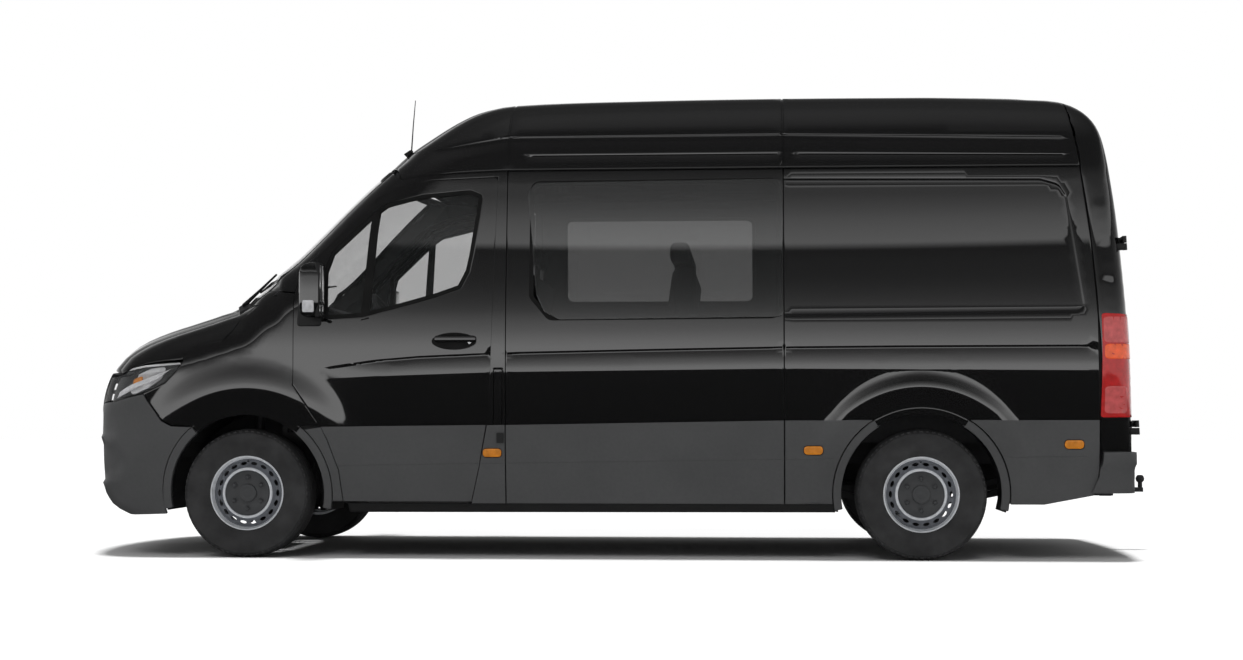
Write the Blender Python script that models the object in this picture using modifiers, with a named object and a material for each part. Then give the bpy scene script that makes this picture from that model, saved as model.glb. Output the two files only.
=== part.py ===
"""High-roof crew panel van, modelled at real size in metres with +Z up.

The nose points to -X and the vehicle's left side lies at -Y. The origin is on the
ground below the middle of the vehicle. Outlines of the body are given in shares:
along the body -1 is the nose, 0 the front axle, 1 the rear axle and 2 the rear end,
and upwards 0 is the ground and 1 the top of the roof.
"""

from math import cos, hypot, pi, radians, sin, tan

import bmesh
import bpy
import numpy as np
from mathutils import Matrix, Vector

# Driving dimensions
WHEELBASE = 3.665
FRONT_OVERHANG = 1.004
REAR_OVERHANG = 1.263
TOW_REACH = 0.107
HEIGHT = 2.605
HALF_WIDTH = 1.005
TYRE_RADIUS = 0.351
TYRE_WIDTH = 0.235
WHEEL_Y = 0.8617 * HALF_WIDTH

# Gaps and panel depths
FIT = 0.0003
SHUT_GAP = 0.007
WALL = 0.06
DOOR_DEPTH = 0.055
ROOF_DEPTH = 0.045
SHEET = 0.022
BONNET_DEPTH = 0.025
GLASS = 0.005
GLASS_INSET = 0.008
BUMPER_DEPTH = 0.035

# Form of the body: half width against height, both in shares
SIDE_HEIGHTS = (0.0, 0.104, 0.23, 0.364, 0.50, 0.613, 0.766, 0.812, 0.881, 0.93, 1.0, 1.2)
SIDE_SHARES = (0.925, 0.942, 0.982, 1.0, 0.996, 0.97, 0.925, 0.908, 0.862, 0.81, 0.72, 0.40)
# Height of the middle of the body along it
TOP_PLACES = (-1.03, -1.0, -0.95, -0.90, -0.79, -0.61, -0.47, -0.32, -0.20, -0.13, 0.019, 0.068,
              0.106, 0.145, 0.183, 0.209, 0.240, 0.285, 0.307, 0.338, 0.363, 0.398, 0.581,
              0.79, 0.98, 1.57, 1.80, 2.0)
TOP_SHARES = (0.365, 0.395, 0.425, 0.441, 0.463, 0.491, 0.508, 0.527, 0.545, 0.570, 0.641, 0.706,
              0.760, 0.812, 0.858, 0.889, 0.919, 0.958, 0.973, 0.986, 0.991, 0.994, 1.0,
              1.002, 1.001, 0.992, 0.987, 0.985)
# Front end and rear end of the middle of the body, against height
FRONT_HEIGHTS = (0.0, 0.08, 0.10, 0.127, 0.172, 0.23, 0.288, 0.364, 0.41, 0.47, 0.60, 1.0)
FRONT_SHARES = (0.70, 0.82, 0.92, 0.975, 0.992, 1.0, 0.997, 0.985, 0.965, 0.90, 0.60, 0.10)
REAR_HEIGHTS = (0.0, 0.24, 0.46, 0.61, 0.766, 0.88, 0.94, 1.0, 1.2)
REAR_SHARES = (0.924, 0.922, 0.912, 0.89, 0.857, 0.818, 0.78, 0.72, 0.50)
FRONT_SWEEP = 0.20
REAR_SWEEP = 0.05
SCREEN_SWEEP = 0.22
CROWN_PLACES = (-1.0, -0.1, 0.3, 2.0)
CROWN_DEPTHS = (0.10, 0.10, 0.17, 0.17)
SHOULDER_ROUND = 0.19
NOSE_ROUND = 0.26
TAIL_ROUND = 0.12

# Derived places
AXLE_X = -(WHEELBASE + REAR_OVERHANG + TOW_REACH - FRONT_OVERHANG) / 2
REAR_AXLE_X = AXLE_X + WHEELBASE
AXLE_Z = TYRE_RADIUS
HALVINGS = 30
FAR = 3.0

# Overruns of cutters past the body, and the margin of a grid past its outline
OVERRUN = 0.25
GRID_MARGIN = 0.015
ACROSS = HALF_WIDTH + OVERRUN
NOSE_X = AXLE_X - FRONT_OVERHANG - OVERRUN
TAIL_X = REAR_AXLE_X + REAR_OVERHANG + OVERRUN
ABOVE = HEIGHT + OVERRUN
INNER_SHARE = 0.35

# Outlines seen from the side, in shares
CAB_DOOR = ((0.071, 0.555), (0.078, 0.598), (0.121, 0.659), (0.191, 0.757), (0.227, 0.780),
            (0.273, 0.794), (0.375, 0.800), (0.367, 0.392), (0.363, 0.288), (0.350, 0.190),
            (0.338, 0.118), (0.146, 0.118), (0.140, 0.184), (0.124, 0.246), (0.101, 0.299),
            (0.072, 0.362))
QUARTER_LIGHT = ((0.189, 0.723), (0.126, 0.637), (0.116, 0.592), (0.117, 0.501), (0.176, 0.506))
DROP_LIGHT = ((0.208, 0.741), (0.273, 0.764), (0.351, 0.770), (0.336, 0.606), (0.322, 0.560),
              (0.189, 0.512))
DOOR_LIGHTS = ((0.189, 0.723), (0.126, 0.637), (0.116, 0.592), (0.117, 0.501), (0.322, 0.560),
               (0.336, 0.606), (0.351, 0.770), (0.273, 0.764), (0.208, 0.741))
MIDDLE_WINDOW = ((0.428, 0.785), (0.793, 0.788), (0.793, 0.503), (0.455, 0.500), (0.428, 0.545))
HEADLAMP = ((-1.05, 0.315), (-1.05, 0.45), (-0.69, 0.45), (-0.56, 0.411), (-0.408, 0.417),
            (-0.463, 0.385), (-0.54, 0.358), (-0.64, 0.342), (-0.80, 0.326))
WING_AREA = ((-0.35, 0.1), (0.16, 0.1), (0.16, 0.30), (0.09, 0.40), (0.09, 0.552), (-0.35, 0.552))
FLAP = ((0.3722, 0.276), (0.3850, 0.276), (0.3850, 0.395), (0.3722, 0.395))
SEAM_FRONT = 0.3895
SEAM_MIDDLE = 0.801
SEAM_TAIL = 1.70
SILL_SHARE = 0.113
GUTTER_SHARE = 0.813
CORNER = 0.05
SMALL_CORNER = 0.02

# Wheel arches and the housings behind them
ARCH_HALF = 0.425
ARCH_RISE = 0.430
ARCH_STEPS = 14
HOUSE_GAP = 0.012
HOUSE_SHEET = 0.02
HOUSE_INNER_Y = 0.5373 * HALF_WIDTH
HOUSE_OUTER_Y = 0.8657 * HALF_WIDTH
HOUSE_FOOT = 0.33

# Windscreen, seen from the front
SCREEN_FOOT_Z = 0.5528 * HEIGHT
SCREEN_FOOT_SIDE_Z = 0.5317 * HEIGHT
SCREEN_TOP_Z = 0.8407 * HEIGHT
SCREEN_TOP_SIDE_Z = 0.8253 * HEIGHT
SCREEN_FOOT_Y = 0.7960 * HALF_WIDTH
SCREEN_TOP_Y = 0.6965 * HALF_WIDTH
SCREEN_STEPS = 4
SCREEN_DEPTH = 0.007

# Cab doors' hinge axis and the lugs that carry it
CAB_HINGE_X = AXLE_X + 0.08186 * WHEELBASE
CAB_HINGE_Y = 0.9980 * HALF_WIDTH
CAB_HINGE_Z = 0.3839 * HEIGHT
CAB_LUG_ZS = (0.3916 * HEIGHT, 0.4952 * HEIGHT)
CAB_LUG_HALF = 0.03
CAB_LUG_DEPTH = 0.018
CAB_LUG_ROOT = 0.02

# Roof: places of its grid along the body, in shares, and the turn of its rays
ROOF_SHARES = (0.10, 0.15, 0.19, 0.24, 0.29, 0.36, 0.60, 1.0, 1.60, 1.70, 1.75, 1.78, 1.80)
ROOF_FRONT_SHARE = 0.15
ROOF_CENTRE_SHARE = 0.73
ROOF_TURN = radians(78)

# Rear end: frame, doors, hinges and lamps
REAR_CENTRE_X = REAR_AXLE_X + 0.1584 * REAR_OVERHANG
REAR_TURNS = tuple(radians(turn) for turn in (0, 15, 30, 38, 42, 45, 48, 51, 55, 61, 68))
LAMP_TURNS = REAR_TURNS[3:]
REAR_FRAME_HIGH = 0.9217 * HEIGHT
REAR_DOOR_Y = 0.8507 * HALF_WIDTH
REAR_DOOR_LOW = 0.2457 * HEIGHT
REAR_DOOR_HALF = ((1.0, 0.2457), (1.0, 0.52), (0.985, 0.72), (0.95, 0.82), (0.88, 0.875),
                  (0.76, 0.905))
REAR_HINGE_Y = 0.9005 * HALF_WIDTH
REAR_HINGE_LOW_X = REAR_AXLE_X + 0.9145 * REAR_OVERHANG
REAR_HINGE_HIGH_X = REAR_AXLE_X + 0.8472 * REAR_OVERHANG
REAR_HINGE_HIGH_Z = 0.8445 * HEIGHT
KNUCKLE_ZS = (0.2726 * HEIGHT, 0.6526 * HEIGHT)
KNUCKLE_RADIUS = 0.012
KNUCKLE_LENGTH = 0.035
KNUCKLE_ARM = 0.008
KNUCKLE_ROOT = 0.05
LEAF_LOW = 0.012
LEAF_HIGH = 0.004
LEAF_WIDTH = 0.03
LAMP_LOW = 0.2933 * HEIGHT
LAMP_HIGH = 0.5029 * HEIGHT
LAMP_DEPTH = 0.035
LAMP_INSET = 0.02

# Front end: bonnet, lamps, grille, wings and bumper
NOSE_CENTRE_X = AXLE_X + 0.0996 * FRONT_OVERHANG
NOSE_TURN = radians(84)
BONNET_EDGE_Y = 0.7960 * HALF_WIDTH
BONNET_GRID_X = 1.01
BONNET_GRID_POWER = 1.8
BONNET_START_Z = 0.2303 * HEIGHT
BONNET_NOSE = 1.03
BONNET_REAR = 0.24
BONNET_LOW = 0.3935 * HEIGHT
BONNET_HINGE_X = AXLE_X - 0.0498 * FRONT_OVERHANG
BONNET_HINGE_Z = 0.5528 * HEIGHT
BONNET_LUG_Y = 0.6567 * HALF_WIDTH
BONNET_LUG_HALF = 0.03
BONNET_LUG_FRONT = 0.22
BONNET_LUG_REAR = 0.09
BONNET_LUG_DEPTH = 0.03
CLADDING_TOP = 0.2741 * HEIGHT
BUMPER_SHARES = (0.0825, 0.0998, 0.1267, 0.1727, 0.2303)
BUMPER_LOW = 0.0845 * HEIGHT
BUMPER_REACH = 0.30
GRILLE_HALF = 0.5572 * HALF_WIDTH
GRILLE_MIDDLE = 0.3378 * HEIGHT
LAMP_SHELL = 0.06
LAMP_SHELL_LOW = 0.2994 * HEIGHT
LAMP_SHELL_HIGH = 0.4376 * HEIGHT
HEADLAMP_TURNS = (radians(22), radians(64))
WING_CENTRE_X = AXLE_X + 0.0996 * FRONT_OVERHANG
WING_CENTRE_Z = 0.2994 * HEIGHT
WING_TURNS = (radians(24), radians(116))
WING_RISES = (radians(-36), radians(44))
WING_TOP = 0.5451 * HEIGHT
WING_REAR = 0.60
WING_INNER_Y = 0.2985 * HALF_WIDTH

# Cab frame and floors
CAB_FRONT = 0.25
CAB_CENTRE_Z = 0.3839 * HEIGHT
CAB_TURN = radians(126)
UNDER_WING_TOP = 0.4415 * HEIGHT
FIREWALL_X = AXLE_X + 0.02456 * WHEELBASE
FIREWALL_LAP = 0.004
FIREWALL_HALF = 0.9502 * HALF_WIDTH
FIREWALL_BEND = 0.4299 * HEIGHT
FIREWALL_TOP_HALF = 0.8458 * HALF_WIDTH
FIREWALL_TOP = 0.5278 * HEIGHT
FIREWALL_DEPTH = 0.03
FLOOR_TOP = 0.2534 * HEIGHT
FLOOR_DEPTH = 0.035
FLOOR_LOW = FLOOR_TOP - FLOOR_DEPTH
CAB_FLOOR_TOP = 0.2610 * HEIGHT
CAB_STEP_X = AXLE_X + 0.1419 * WHEELBASE
CAB_STEP_INNER = 0.7761 * HALF_WIDTH
CAB_STEP_OUTER = 0.8756 * HALF_WIDTH
CAB_STEP_LOW = 0.1190 * HEIGHT
CAB_BEAM = 0.05
CAB_BEAM_HALF = 0.9453 * HALF_WIDTH
FLOOR_TAIL_X = REAR_AXLE_X + 0.8947 * REAR_OVERHANG
FLOOR_HOUSE_Y = 0.6965 * HALF_WIDTH

# Wheels: radii and offsets from the wheel's middle plane
TYRE_HALF = TYRE_WIDTH / 2
RIM_RADIUS = 0.2205
BEAD_RADIUS = 0.203
BARREL_DROP = 0.014
BARREL_RADIUS = BEAD_RADIUS - BARREL_DROP
WHEEL_STEPS = 20
TREAD_DROP = 0.014
SHOULDER_DROP = 0.060
TYRE_HALF_SHARES = (0.55, 0.86, 1.0, 0.86, 0.80, 0.62, 0.60)
DISC_OUT = 0.045
CAP_RADIUS = 0.060
CAP_HIGH = 0.042
CAP_EDGE = 0.022
RING_INNER = 0.118
RING_OUTER = 0.140
RING_HIGH = 0.030
DISC_DIP_RADIUS = 0.155
DISC_DIP = 0.012
DISC_EDGE_RADIUS = 0.178
DISC_EDGE = 0.006
DISC_BACK = 0.012
FLANGE_LIP = 0.004

# Chassis, suspension and drive line
RAIL_Y = 0.4179 * HALF_WIDTH
RAIL_HALF = 0.035
RAIL_DEPTH = 0.12
RAIL_HIGH = FLOOR_LOW - FIT
RAIL_LOW = RAIL_HIGH - RAIL_DEPTH
RAIL_FRONT = 1.0
RAIL_END_SHARE = 1.84
CROSS_FRONT = 0.76
CROSS_SHARES = (0.13, 0.42, 0.66, 0.86, 1.17, 1.45, 1.80)
CROSS_HALF = 0.03
CROSS_INSET = 0.02
ARM_PLACES = (-0.12, 0.12)
ARM_END_SHARE = 0.18
ARM_RADIUS = 0.022
ARM_Z = 0.26
BALL_JOINT_RADIUS = 0.028
BALL_JOINT_DEPTH = 0.045
TANK_SHARES = (0.45, 0.64)
TANK_OUTER = 0.8557 * HALF_WIDTH
TANK_INNER = 0.3980 * HALF_WIDTH
TANK_LOW = 0.1152 * HEIGHT
TANK_LAP = 0.05
STEER_TILT = radians(13)
STEER_Y = 0.7682 * HALF_WIDTH
KING_LOW = 0.245
KING_HIGH = 0.47
KING_RADIUS = 0.032
STRUT_RADIUS = 0.026
HUB_RADIUS = 0.045
HUB_LAP = 0.01
STEER_ARM_DROP = 0.05
STEER_ARM_REACH = 0.14
STEER_ARM_RADIUS = 0.016
BEAM_RADIUS = 0.045
DIFF_RADIUS = 0.14
DIFF_HALF = 0.13
PROP_SHARE = 0.30
PROP_Z = 0.40
PROP_RADIUS = 0.04
SPRING_HALF = 0.66
SPRING_DROP = 0.075
SPRING_RISE = 0.11
SPRING_DEPTH = 0.035
SPRING_INNER = 0.4876 * HALF_WIDTH
SPRING_OUTER = 0.5572 * HALF_WIDTH
SPRING_STEPS = 4
HANGER_HALF = 0.03
ENGINE_FRONT = 0.62
ENGINE_REAR = 0.05
ENGINE_HALF = 0.2985 * HALF_WIDTH
ENGINE_LOW = 0.1919 * HEIGHT
ENGINE_HIGH = 0.4069 * HEIGHT
ENGINE_MOUNT_X = AXLE_X - 0.249 * FRONT_OVERHANG
ENGINE_MOUNT_HALF = 0.04

# Cabin
SEAT_X = AXLE_X + 0.2347 * WHEELBASE
CREW_SEAT_X = AXLE_X + 0.4911 * WHEELBASE
SEAT_Y = 0.4677 * HALF_WIDTH
SEAT_WIDTH = 0.4776 * HALF_WIDTH
BENCH_Y = 0.3781 * HALF_WIDTH
BENCH_WIDTH = 0.9154 * HALF_WIDTH
BENCH_HEAD_YS = (0.1493 * HALF_WIDTH, 0.6169 * HALF_WIDTH)
CREW_WIDTH = 1.5522 * HALF_WIDTH
CREW_HEAD_YS = (-0.5174 * HALF_WIDTH, 0.0, 0.5174 * HALF_WIDTH)
CUSHION_TOP = 0.4069 * HEIGHT
CUSHION_REACH = 0.44
BACK_TOP = 0.6372 * HEIGHT
BACK_LEAN = 0.10
BACK_DEPTH = 0.12
HEAD_SIZE = (0.09, 0.26, 0.17)
HEAD_LAP = 0.02
DASH_LOW = 0.3916 * HEIGHT
DASH_HALF = 0.8756 * HALF_WIDTH
DASH_SHARES = ((0.0, 0.0), (0.0, 0.895), (0.50, 1.0), (0.91, 0.816), (1.0, 0.21), (0.68, 0.0))
DASH_REACH = 0.44
DASH_RISE = 0.1459 * HEIGHT
DASH_ROUND = 0.02
STEER_HUB = (AXLE_X + 0.191 * WHEELBASE, -SEAT_Y, 0.499 * HEIGHT)
STEER_LEAN = radians(58)
STEER_RING = 0.19
STEER_GRIP = 0.015
STEER_BOSS = 0.06
STEER_BOSS_DEPTH = 0.05
STEER_STUB = 0.08
STEER_SHROUD = 0.26
STEER_SHROUD_RADIUS = 0.04
STEER_SPOKE = 0.013
STEER_SPOKE_DROP = 0.02

# Mirrors, fuel flap, rear bumper and tow bar
MIRROR_X = AXLE_X + 0.1037 * WHEELBASE
MIRROR_HALF_X = 0.05
MIRROR_INNER_Y = 1.0249 * HALF_WIDTH
MIRROR_OUTER_Y = 1.1642 * HALF_WIDTH
MIRROR_LOW = 0.4990 * HEIGHT
MIRROR_HIGH = 0.6142 * HEIGHT
MIRROR_ROUND = 0.03
MIRROR_ARM = 0.02
MIRROR_ARM_RISE = 0.04
FLAP_DEPTH = 0.006
FLAP_POCKET = 0.02
FLAP_GAP = 0.006
FLAP_HINGE_INSET = 0.004
FLAP_HINGE_Y = 0.9950 * HALF_WIDTH
FLAP_HINGE_Z = 0.3359 * HEIGHT
FLAP_STOP = 0.012
BUMPER_TOP = 0.2207 * HEIGHT
REAR_FRAME_LOW = BUMPER_TOP + FIT
REAR_BUMPER_SHARES = (0.1382, 0.1612, 0.1919)
REAR_BUMPER_LOW = 0.1420 * HEIGHT
REAR_BUMPER_TURN = radians(62)
REAR_BUMPER_PROUD = 0.03
REAR_BUMPER_DEPTH = 0.07
TOW_FRONT = 0.24
TOW_BEAM = 0.06
TOW_BEAM_HALF = 0.5174 * HALF_WIDTH
TOW_LOW = 0.33
TOW_PLATE_FRONT = 0.50
TOW_PLATE_REAR = 0.16
TOW_PLATE = 0.012
TOW_NECK = 0.025
TOW_NECK_LOW = 0.335
BALL_RADIUS = 0.025
BALL_Z = 0.41
BALL_FLAT = radians(60)
BALL_STEPS = 6
BALL_POST = 0.013

VAN = bpy.data.collections.new("panel_van")
CUTTERS = bpy.data.collections.new("cutters")


def clear_scene():
    for thing in list(bpy.data.objects):
        bpy.data.objects.remove(thing, do_unlink=True)
    for group in (VAN, CUTTERS):
        bpy.context.scene.collection.children.link(group)


def along(share):
    """X of a share of the body's length."""
    share = np.asarray(share, dtype=float)
    front = AXLE_X + share * FRONT_OVERHANG
    middle = AXLE_X + share * WHEELBASE
    rear = REAR_AXLE_X + (share - 1) * REAR_OVERHANG
    return np.where(share < 0, front, np.where(share < 1, middle, rear))


def place_share(x):
    """Share of the body's length at x."""
    front = (x - AXLE_X) / FRONT_OVERHANG
    middle = (x - AXLE_X) / WHEELBASE
    rear = 1 + (x - REAR_AXLE_X) / REAR_OVERHANG
    return np.where(x < AXLE_X, front, np.where(x < REAR_AXLE_X, middle, rear))


def smooth_value(t, knots, values):
    """Smooth curve through the knots, with each slope taken from its neighbours."""
    knots = np.asarray(knots, dtype=float)
    values = np.asarray(values, dtype=float)
    slopes = np.gradient(values, knots)
    i = np.clip(np.searchsorted(knots, t) - 1, 0, len(knots) - 2)
    span = knots[i + 1] - knots[i]
    q = np.clip((t - knots[i]) / span, 0, 1)
    start = values[i] * (1 + 2 * q) * (1 - q) ** 2 + slopes[i] * span * q * (1 - q) ** 2
    end = values[i + 1] * q * q * (3 - 2 * q) + slopes[i + 1] * span * q * q * (q - 1)
    return start + end


def smooth_max(a, b, width):
    h = np.clip(width - np.abs(a - b), 0, None) / width
    return np.maximum(a, b) + h * h * width / 4


def form(x, y, z):
    """Below zero inside the body, above zero outside it."""
    side = np.abs(y) - HALF_WIDTH * smooth_value(z / HEIGHT, SIDE_HEIGHTS, SIDE_SHARES)
    share = place_share(x - SCREEN_SWEEP * y * y)
    crown = np.interp(share, CROWN_PLACES, CROWN_DEPTHS)
    top = z - HEIGHT * smooth_value(share, TOP_PLACES, TOP_SHARES) + crown * y * y
    nose = AXLE_X - FRONT_OVERHANG * smooth_value(z / HEIGHT, FRONT_HEIGHTS, FRONT_SHARES)
    front = nose + FRONT_SWEEP * y * y - x
    tail = REAR_AXLE_X + REAR_OVERHANG * smooth_value(z / HEIGHT, REAR_HEIGHTS, REAR_SHARES)
    rear = x - tail + REAR_SWEEP * y * y
    body = smooth_max(side, front, NOSE_ROUND)
    body = smooth_max(body, rear, TAIL_ROUND)
    return smooth_max(body, top, SHOULDER_ROUND)


def reach_skin(origins, directions, inset=0.0):
    """Points where rays from inside meet the body's skin, moved in by the inset."""
    low = np.zeros(len(origins))
    high = np.full(len(origins), FAR)
    for _ in range(HALVINGS):
        middle = (low + high) / 2
        points = origins + directions * middle[:, None]
        outside = form(points[:, 0], points[:, 1], points[:, 2]) > 0
        high = np.where(outside, middle, high)
        low = np.where(outside, low, middle)
    return origins + directions * (low - inset)[:, None]


def finish(name, mesh, material, group=VAN):
    thing = bpy.data.objects.new(name, mesh)
    group.objects.link(thing)
    if material:
        mesh.materials.append(material)
    if group is CUTTERS:
        thing.hide_render = True
        thing.display_type = "WIRE"
    return thing


def skin(name, firsts, seconds, ray, depth, material=None, group=VAN, inset=0.0, proud=0.0):
    """Shell under the body's skin, or proud of it too: a grid thrown out, then made solid."""
    columns, rows = len(firsts) - 1, len(seconds) - 1
    bm = bmesh.new()
    bmesh.ops.create_grid(bm, x_segments=columns, y_segments=rows, size=1)
    verts = list(bm.verts)
    a = np.array([firsts[round((v.co.x + 1) / 2 * columns)] for v in verts])
    b = np.array([seconds[round((v.co.y + 1) / 2 * rows)] for v in verts])
    origins, directions = ray(a, b)
    for vert, point in zip(verts, reach_skin(origins, directions, inset)):
        vert.co = point
    bm.verts.index_update()
    bm.normal_update()
    outward = sum(f.normal.dot(Vector(directions[f.verts[0].index])) for f in bm.faces)
    if outward < 0:
        bmesh.ops.reverse_faces(bm, faces=bm.faces)
    mesh = bpy.data.meshes.new(name)
    bm.to_mesh(mesh)
    bm.free()
    thing = finish(name, mesh, material, group)
    shell = thing.modifiers.new("depth", "SOLIDIFY")
    shell.thickness = depth + proud
    shell.offset = (proud - depth) / (proud + depth)
    shell.use_even_offset = True
    thing.modifiers.new("flat_faces", "TRIANGULATE")
    return thing


def sideways(side):
    """Rays out to one side: the grid runs along the body and upwards."""
    def ray(a, b):
        zero = np.zeros_like(a)
        return np.stack([a, zero, b], 1), np.stack([zero, zero + side, zero], 1)
    return ray


def around(centre_z):
    """Rays across the body about a line along it: the grid runs along and around."""
    def ray(a, b):
        zero = np.zeros_like(a)
        return np.stack([a, zero, zero + centre_z], 1), np.stack([zero, np.sin(b), np.cos(b)], 1)
    return ray


def in_plan(centre_x, facing):
    """Level rays about an upright line: the grid runs around and upwards."""
    def ray(a, b):
        zero = np.zeros_like(a)
        directions = np.stack([facing * np.cos(a), np.sin(a), zero], 1)
        return np.stack([zero + centre_x, zero, b], 1), directions
    return ray


def forwards(start_x):
    """Rays ahead along the body: the grid runs across and upwards."""
    def ray(a, b):
        zero = np.zeros_like(a)
        return np.stack([zero + start_x, a, b], 1), np.stack([zero - 1, zero, zero], 1)
    return ray


def upwards(start_z):
    """Rays straight up: the grid runs along and across."""
    def ray(a, b):
        zero = np.zeros_like(a)
        return np.stack([a, b, zero + start_z], 1), np.stack([zero, zero, zero + 1], 1)
    return ray


def backwards(start_x):
    """Rays back along the body: the grid runs across and upwards."""
    def ray(a, b):
        zero = np.zeros_like(a)
        return np.stack([zero + start_x, a, b], 1), np.stack([zero + 1, zero, zero], 1)
    return ray


def from_point(centre_x, centre_z):
    """Rays from a point towards the nose: the grid runs around and upwards."""
    def ray(a, b):
        zero = np.zeros_like(a)
        directions = np.stack([-np.cos(a) * np.cos(b), np.sin(a) * np.cos(b), np.sin(b)], 1)
        return np.stack([zero + centre_x, zero, zero + centre_z], 1), directions
    return ray


def spread(start, end, count):
    return list(np.linspace(float(start), float(end), count + 1))


def grow(points, distance):
    """Outline with each edge moved out by a distance."""
    count = len(points)
    area = sum(points[i - 1][0] * points[i][1] - points[i][0] * points[i - 1][1]
               for i in range(count))
    turn = 1 if area > 0 else -1
    grown = []
    for i in range(count):
        before = Vector(points[i]) - Vector(points[i - 1])
        after = Vector(points[(i + 1) % count]) - Vector(points[i])
        n0 = Vector((before.y, -before.x)).normalized() * turn
        n1 = Vector((after.y, -after.x)).normalized() * turn
        middle = (n0 + n1).normalized()
        grown.append(tuple(Vector(points[i]) + middle * (distance / middle.dot(n0))))
    return grown


def rounded(points, radius, steps=3):
    """Outline with each corner turned into an arc."""
    result = []
    count = len(points)
    for i in range(count):
        corner = Vector(points[i])
        to_last = Vector(points[i - 1]) - corner
        to_next = Vector(points[(i + 1) % count]) - corner
        angle = to_last.angle(to_next)
        reach = min(radius / tan(angle / 2), to_last.length / 2.1, to_next.length / 2.1)
        start = corner + to_last.normalized() * reach
        end = corner + to_next.normalized() * reach
        if reach < FIT:
            result.append(tuple(corner))
            continue
        for step in range(steps + 1):
            t = step / steps
            result.append(tuple(start * (1 - t) ** 2 + corner * 2 * t * (1 - t) + end * t * t))
    return result


def side_points(shares):
    return [(float(along(u)), v * HEIGHT) for u, v in shares]


PLANES = {
    "XZ": Matrix(((1, 0, 0, 0), (0, 0, -1, 0), (0, 1, 0, 0), (0, 0, 0, 1))),
    "YZ": Matrix(((0, 0, 1, 0), (1, 0, 0, 0), (0, 1, 0, 0), (0, 0, 0, 1))),
    "XY": Matrix.Identity(4),
}


def prism(name, points, plane, low, high, material=None, group=CUTTERS):
    """Outline in a plane, drawn out between two places on that plane's normal."""
    curve = bpy.data.curves.new(name, "CURVE")
    curve.dimensions = "2D"
    curve.fill_mode = "BOTH"
    curve.extrude = (high - low) / 2
    spline = curve.splines.new("POLY")
    spline.points.add(len(points) - 1)
    for point, (p, q) in zip(spline.points, points):
        point.co = (p, q, 0, 1)
    spline.use_cyclic_u = True
    outline = bpy.data.objects.new(name + "_outline", curve)
    VAN.objects.link(outline)
    bpy.context.view_layer.update()
    mesh = bpy.data.meshes.new_from_object(outline.evaluated_get(bpy.context.evaluated_depsgraph_get()))
    bpy.data.objects.remove(outline)
    bm = bmesh.new()
    bm.from_mesh(mesh)
    bmesh.ops.remove_doubles(bm, verts=bm.verts, dist=FIT / 3)
    bmesh.ops.recalc_face_normals(bm, faces=bm.faces)
    middle = (low + high) / 2
    shift = {"XZ": (0, middle, 0), "YZ": (middle, 0, 0), "XY": (0, 0, middle)}[plane]
    bmesh.ops.transform(bm, matrix=Matrix.Translation(shift) @ PLANES[plane], verts=bm.verts)
    bm.to_mesh(mesh)
    bm.free()
    mesh.name = name
    return finish(name, mesh, material, group)


def block(name, low, high, material=None, group=CUTTERS):
    """Box between two corners."""
    bm = bmesh.new()
    bmesh.ops.create_cube(bm, size=1)
    size = [h - l for l, h in zip(low, high)]
    bmesh.ops.scale(bm, vec=size, verts=bm.verts)
    bmesh.ops.translate(bm, vec=[(l + h) / 2 for l, h in zip(low, high)], verts=bm.verts)
    mesh = bpy.data.meshes.new(name)
    bm.to_mesh(mesh)
    bm.free()
    return finish(name, mesh, material, group)


def rod(name, start, end, radius, sides=12, material=None, group=CUTTERS, end_radius=None):
    """Round bar, or cone, from one point to another."""
    axis = Vector(end) - Vector(start)
    bm = bmesh.new()
    bmesh.ops.create_cone(bm, cap_ends=True, segments=sides, radius1=radius,
                          radius2=radius if end_radius is None else end_radius, depth=axis.length)
    turn = axis.to_track_quat("Z", "Y").to_matrix().to_4x4()
    middle = Matrix.Translation((Vector(start) + Vector(end)) / 2)
    bmesh.ops.transform(bm, matrix=middle @ turn, verts=bm.verts)
    mesh = bpy.data.meshes.new(name)
    bm.to_mesh(mesh)
    bm.free()
    return finish(name, mesh, material, group)


def cut(target, cutter, operation="DIFFERENCE"):
    mod = target.modifiers.new(operation.lower(), "BOOLEAN")
    mod.operation = operation
    mod.object = cutter
    mod.solver = "EXACT"
    return target


def keep(target, cutter):
    return cut(target, cutter, "INTERSECT")


def join(target, *others):
    for other in others:
        cut(target, other, "UNION")
    return target


def pivot(thing, point):
    """Moves the object's origin to a point on its joint's axis."""
    thing.data.transform(Matrix.Translation(-Vector(point)))
    thing.location = point
    return thing


def turned(name, profile, steps, material, group=VAN):
    """Solid of revolution about the object's Z axis."""
    bm = bmesh.new()
    verts = [bm.verts.new((r, 0, z)) for r, z in profile]
    on_axis = profile[0][0] == 0 and profile[-1][0] == 0
    for first, second in zip(verts, verts[1:] if on_axis else verts[1:] + verts[:1]):
        bm.edges.new((first, second))
    mesh = bpy.data.meshes.new(name)
    bm.to_mesh(mesh)
    bm.free()
    thing = finish(name, mesh, material, group)
    screw = thing.modifiers.new("turn", "SCREW")
    screw.steps = steps
    screw.render_steps = steps
    screw.use_merge_vertices = True
    screw.merge_threshold = 0.0001
    return thing


def paint(name, colour, roughness, metallic=0.0, alpha=1.0):
    material = bpy.data.materials.new(name)
    material.use_nodes = True
    shader = material.node_tree.nodes["Principled BSDF"]
    shader.inputs["Base Color"].default_value = (*colour, 1)
    shader.inputs["Roughness"].default_value = roughness
    shader.inputs["Metallic"].default_value = metallic
    shader.inputs["Alpha"].default_value = alpha
    return material


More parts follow.
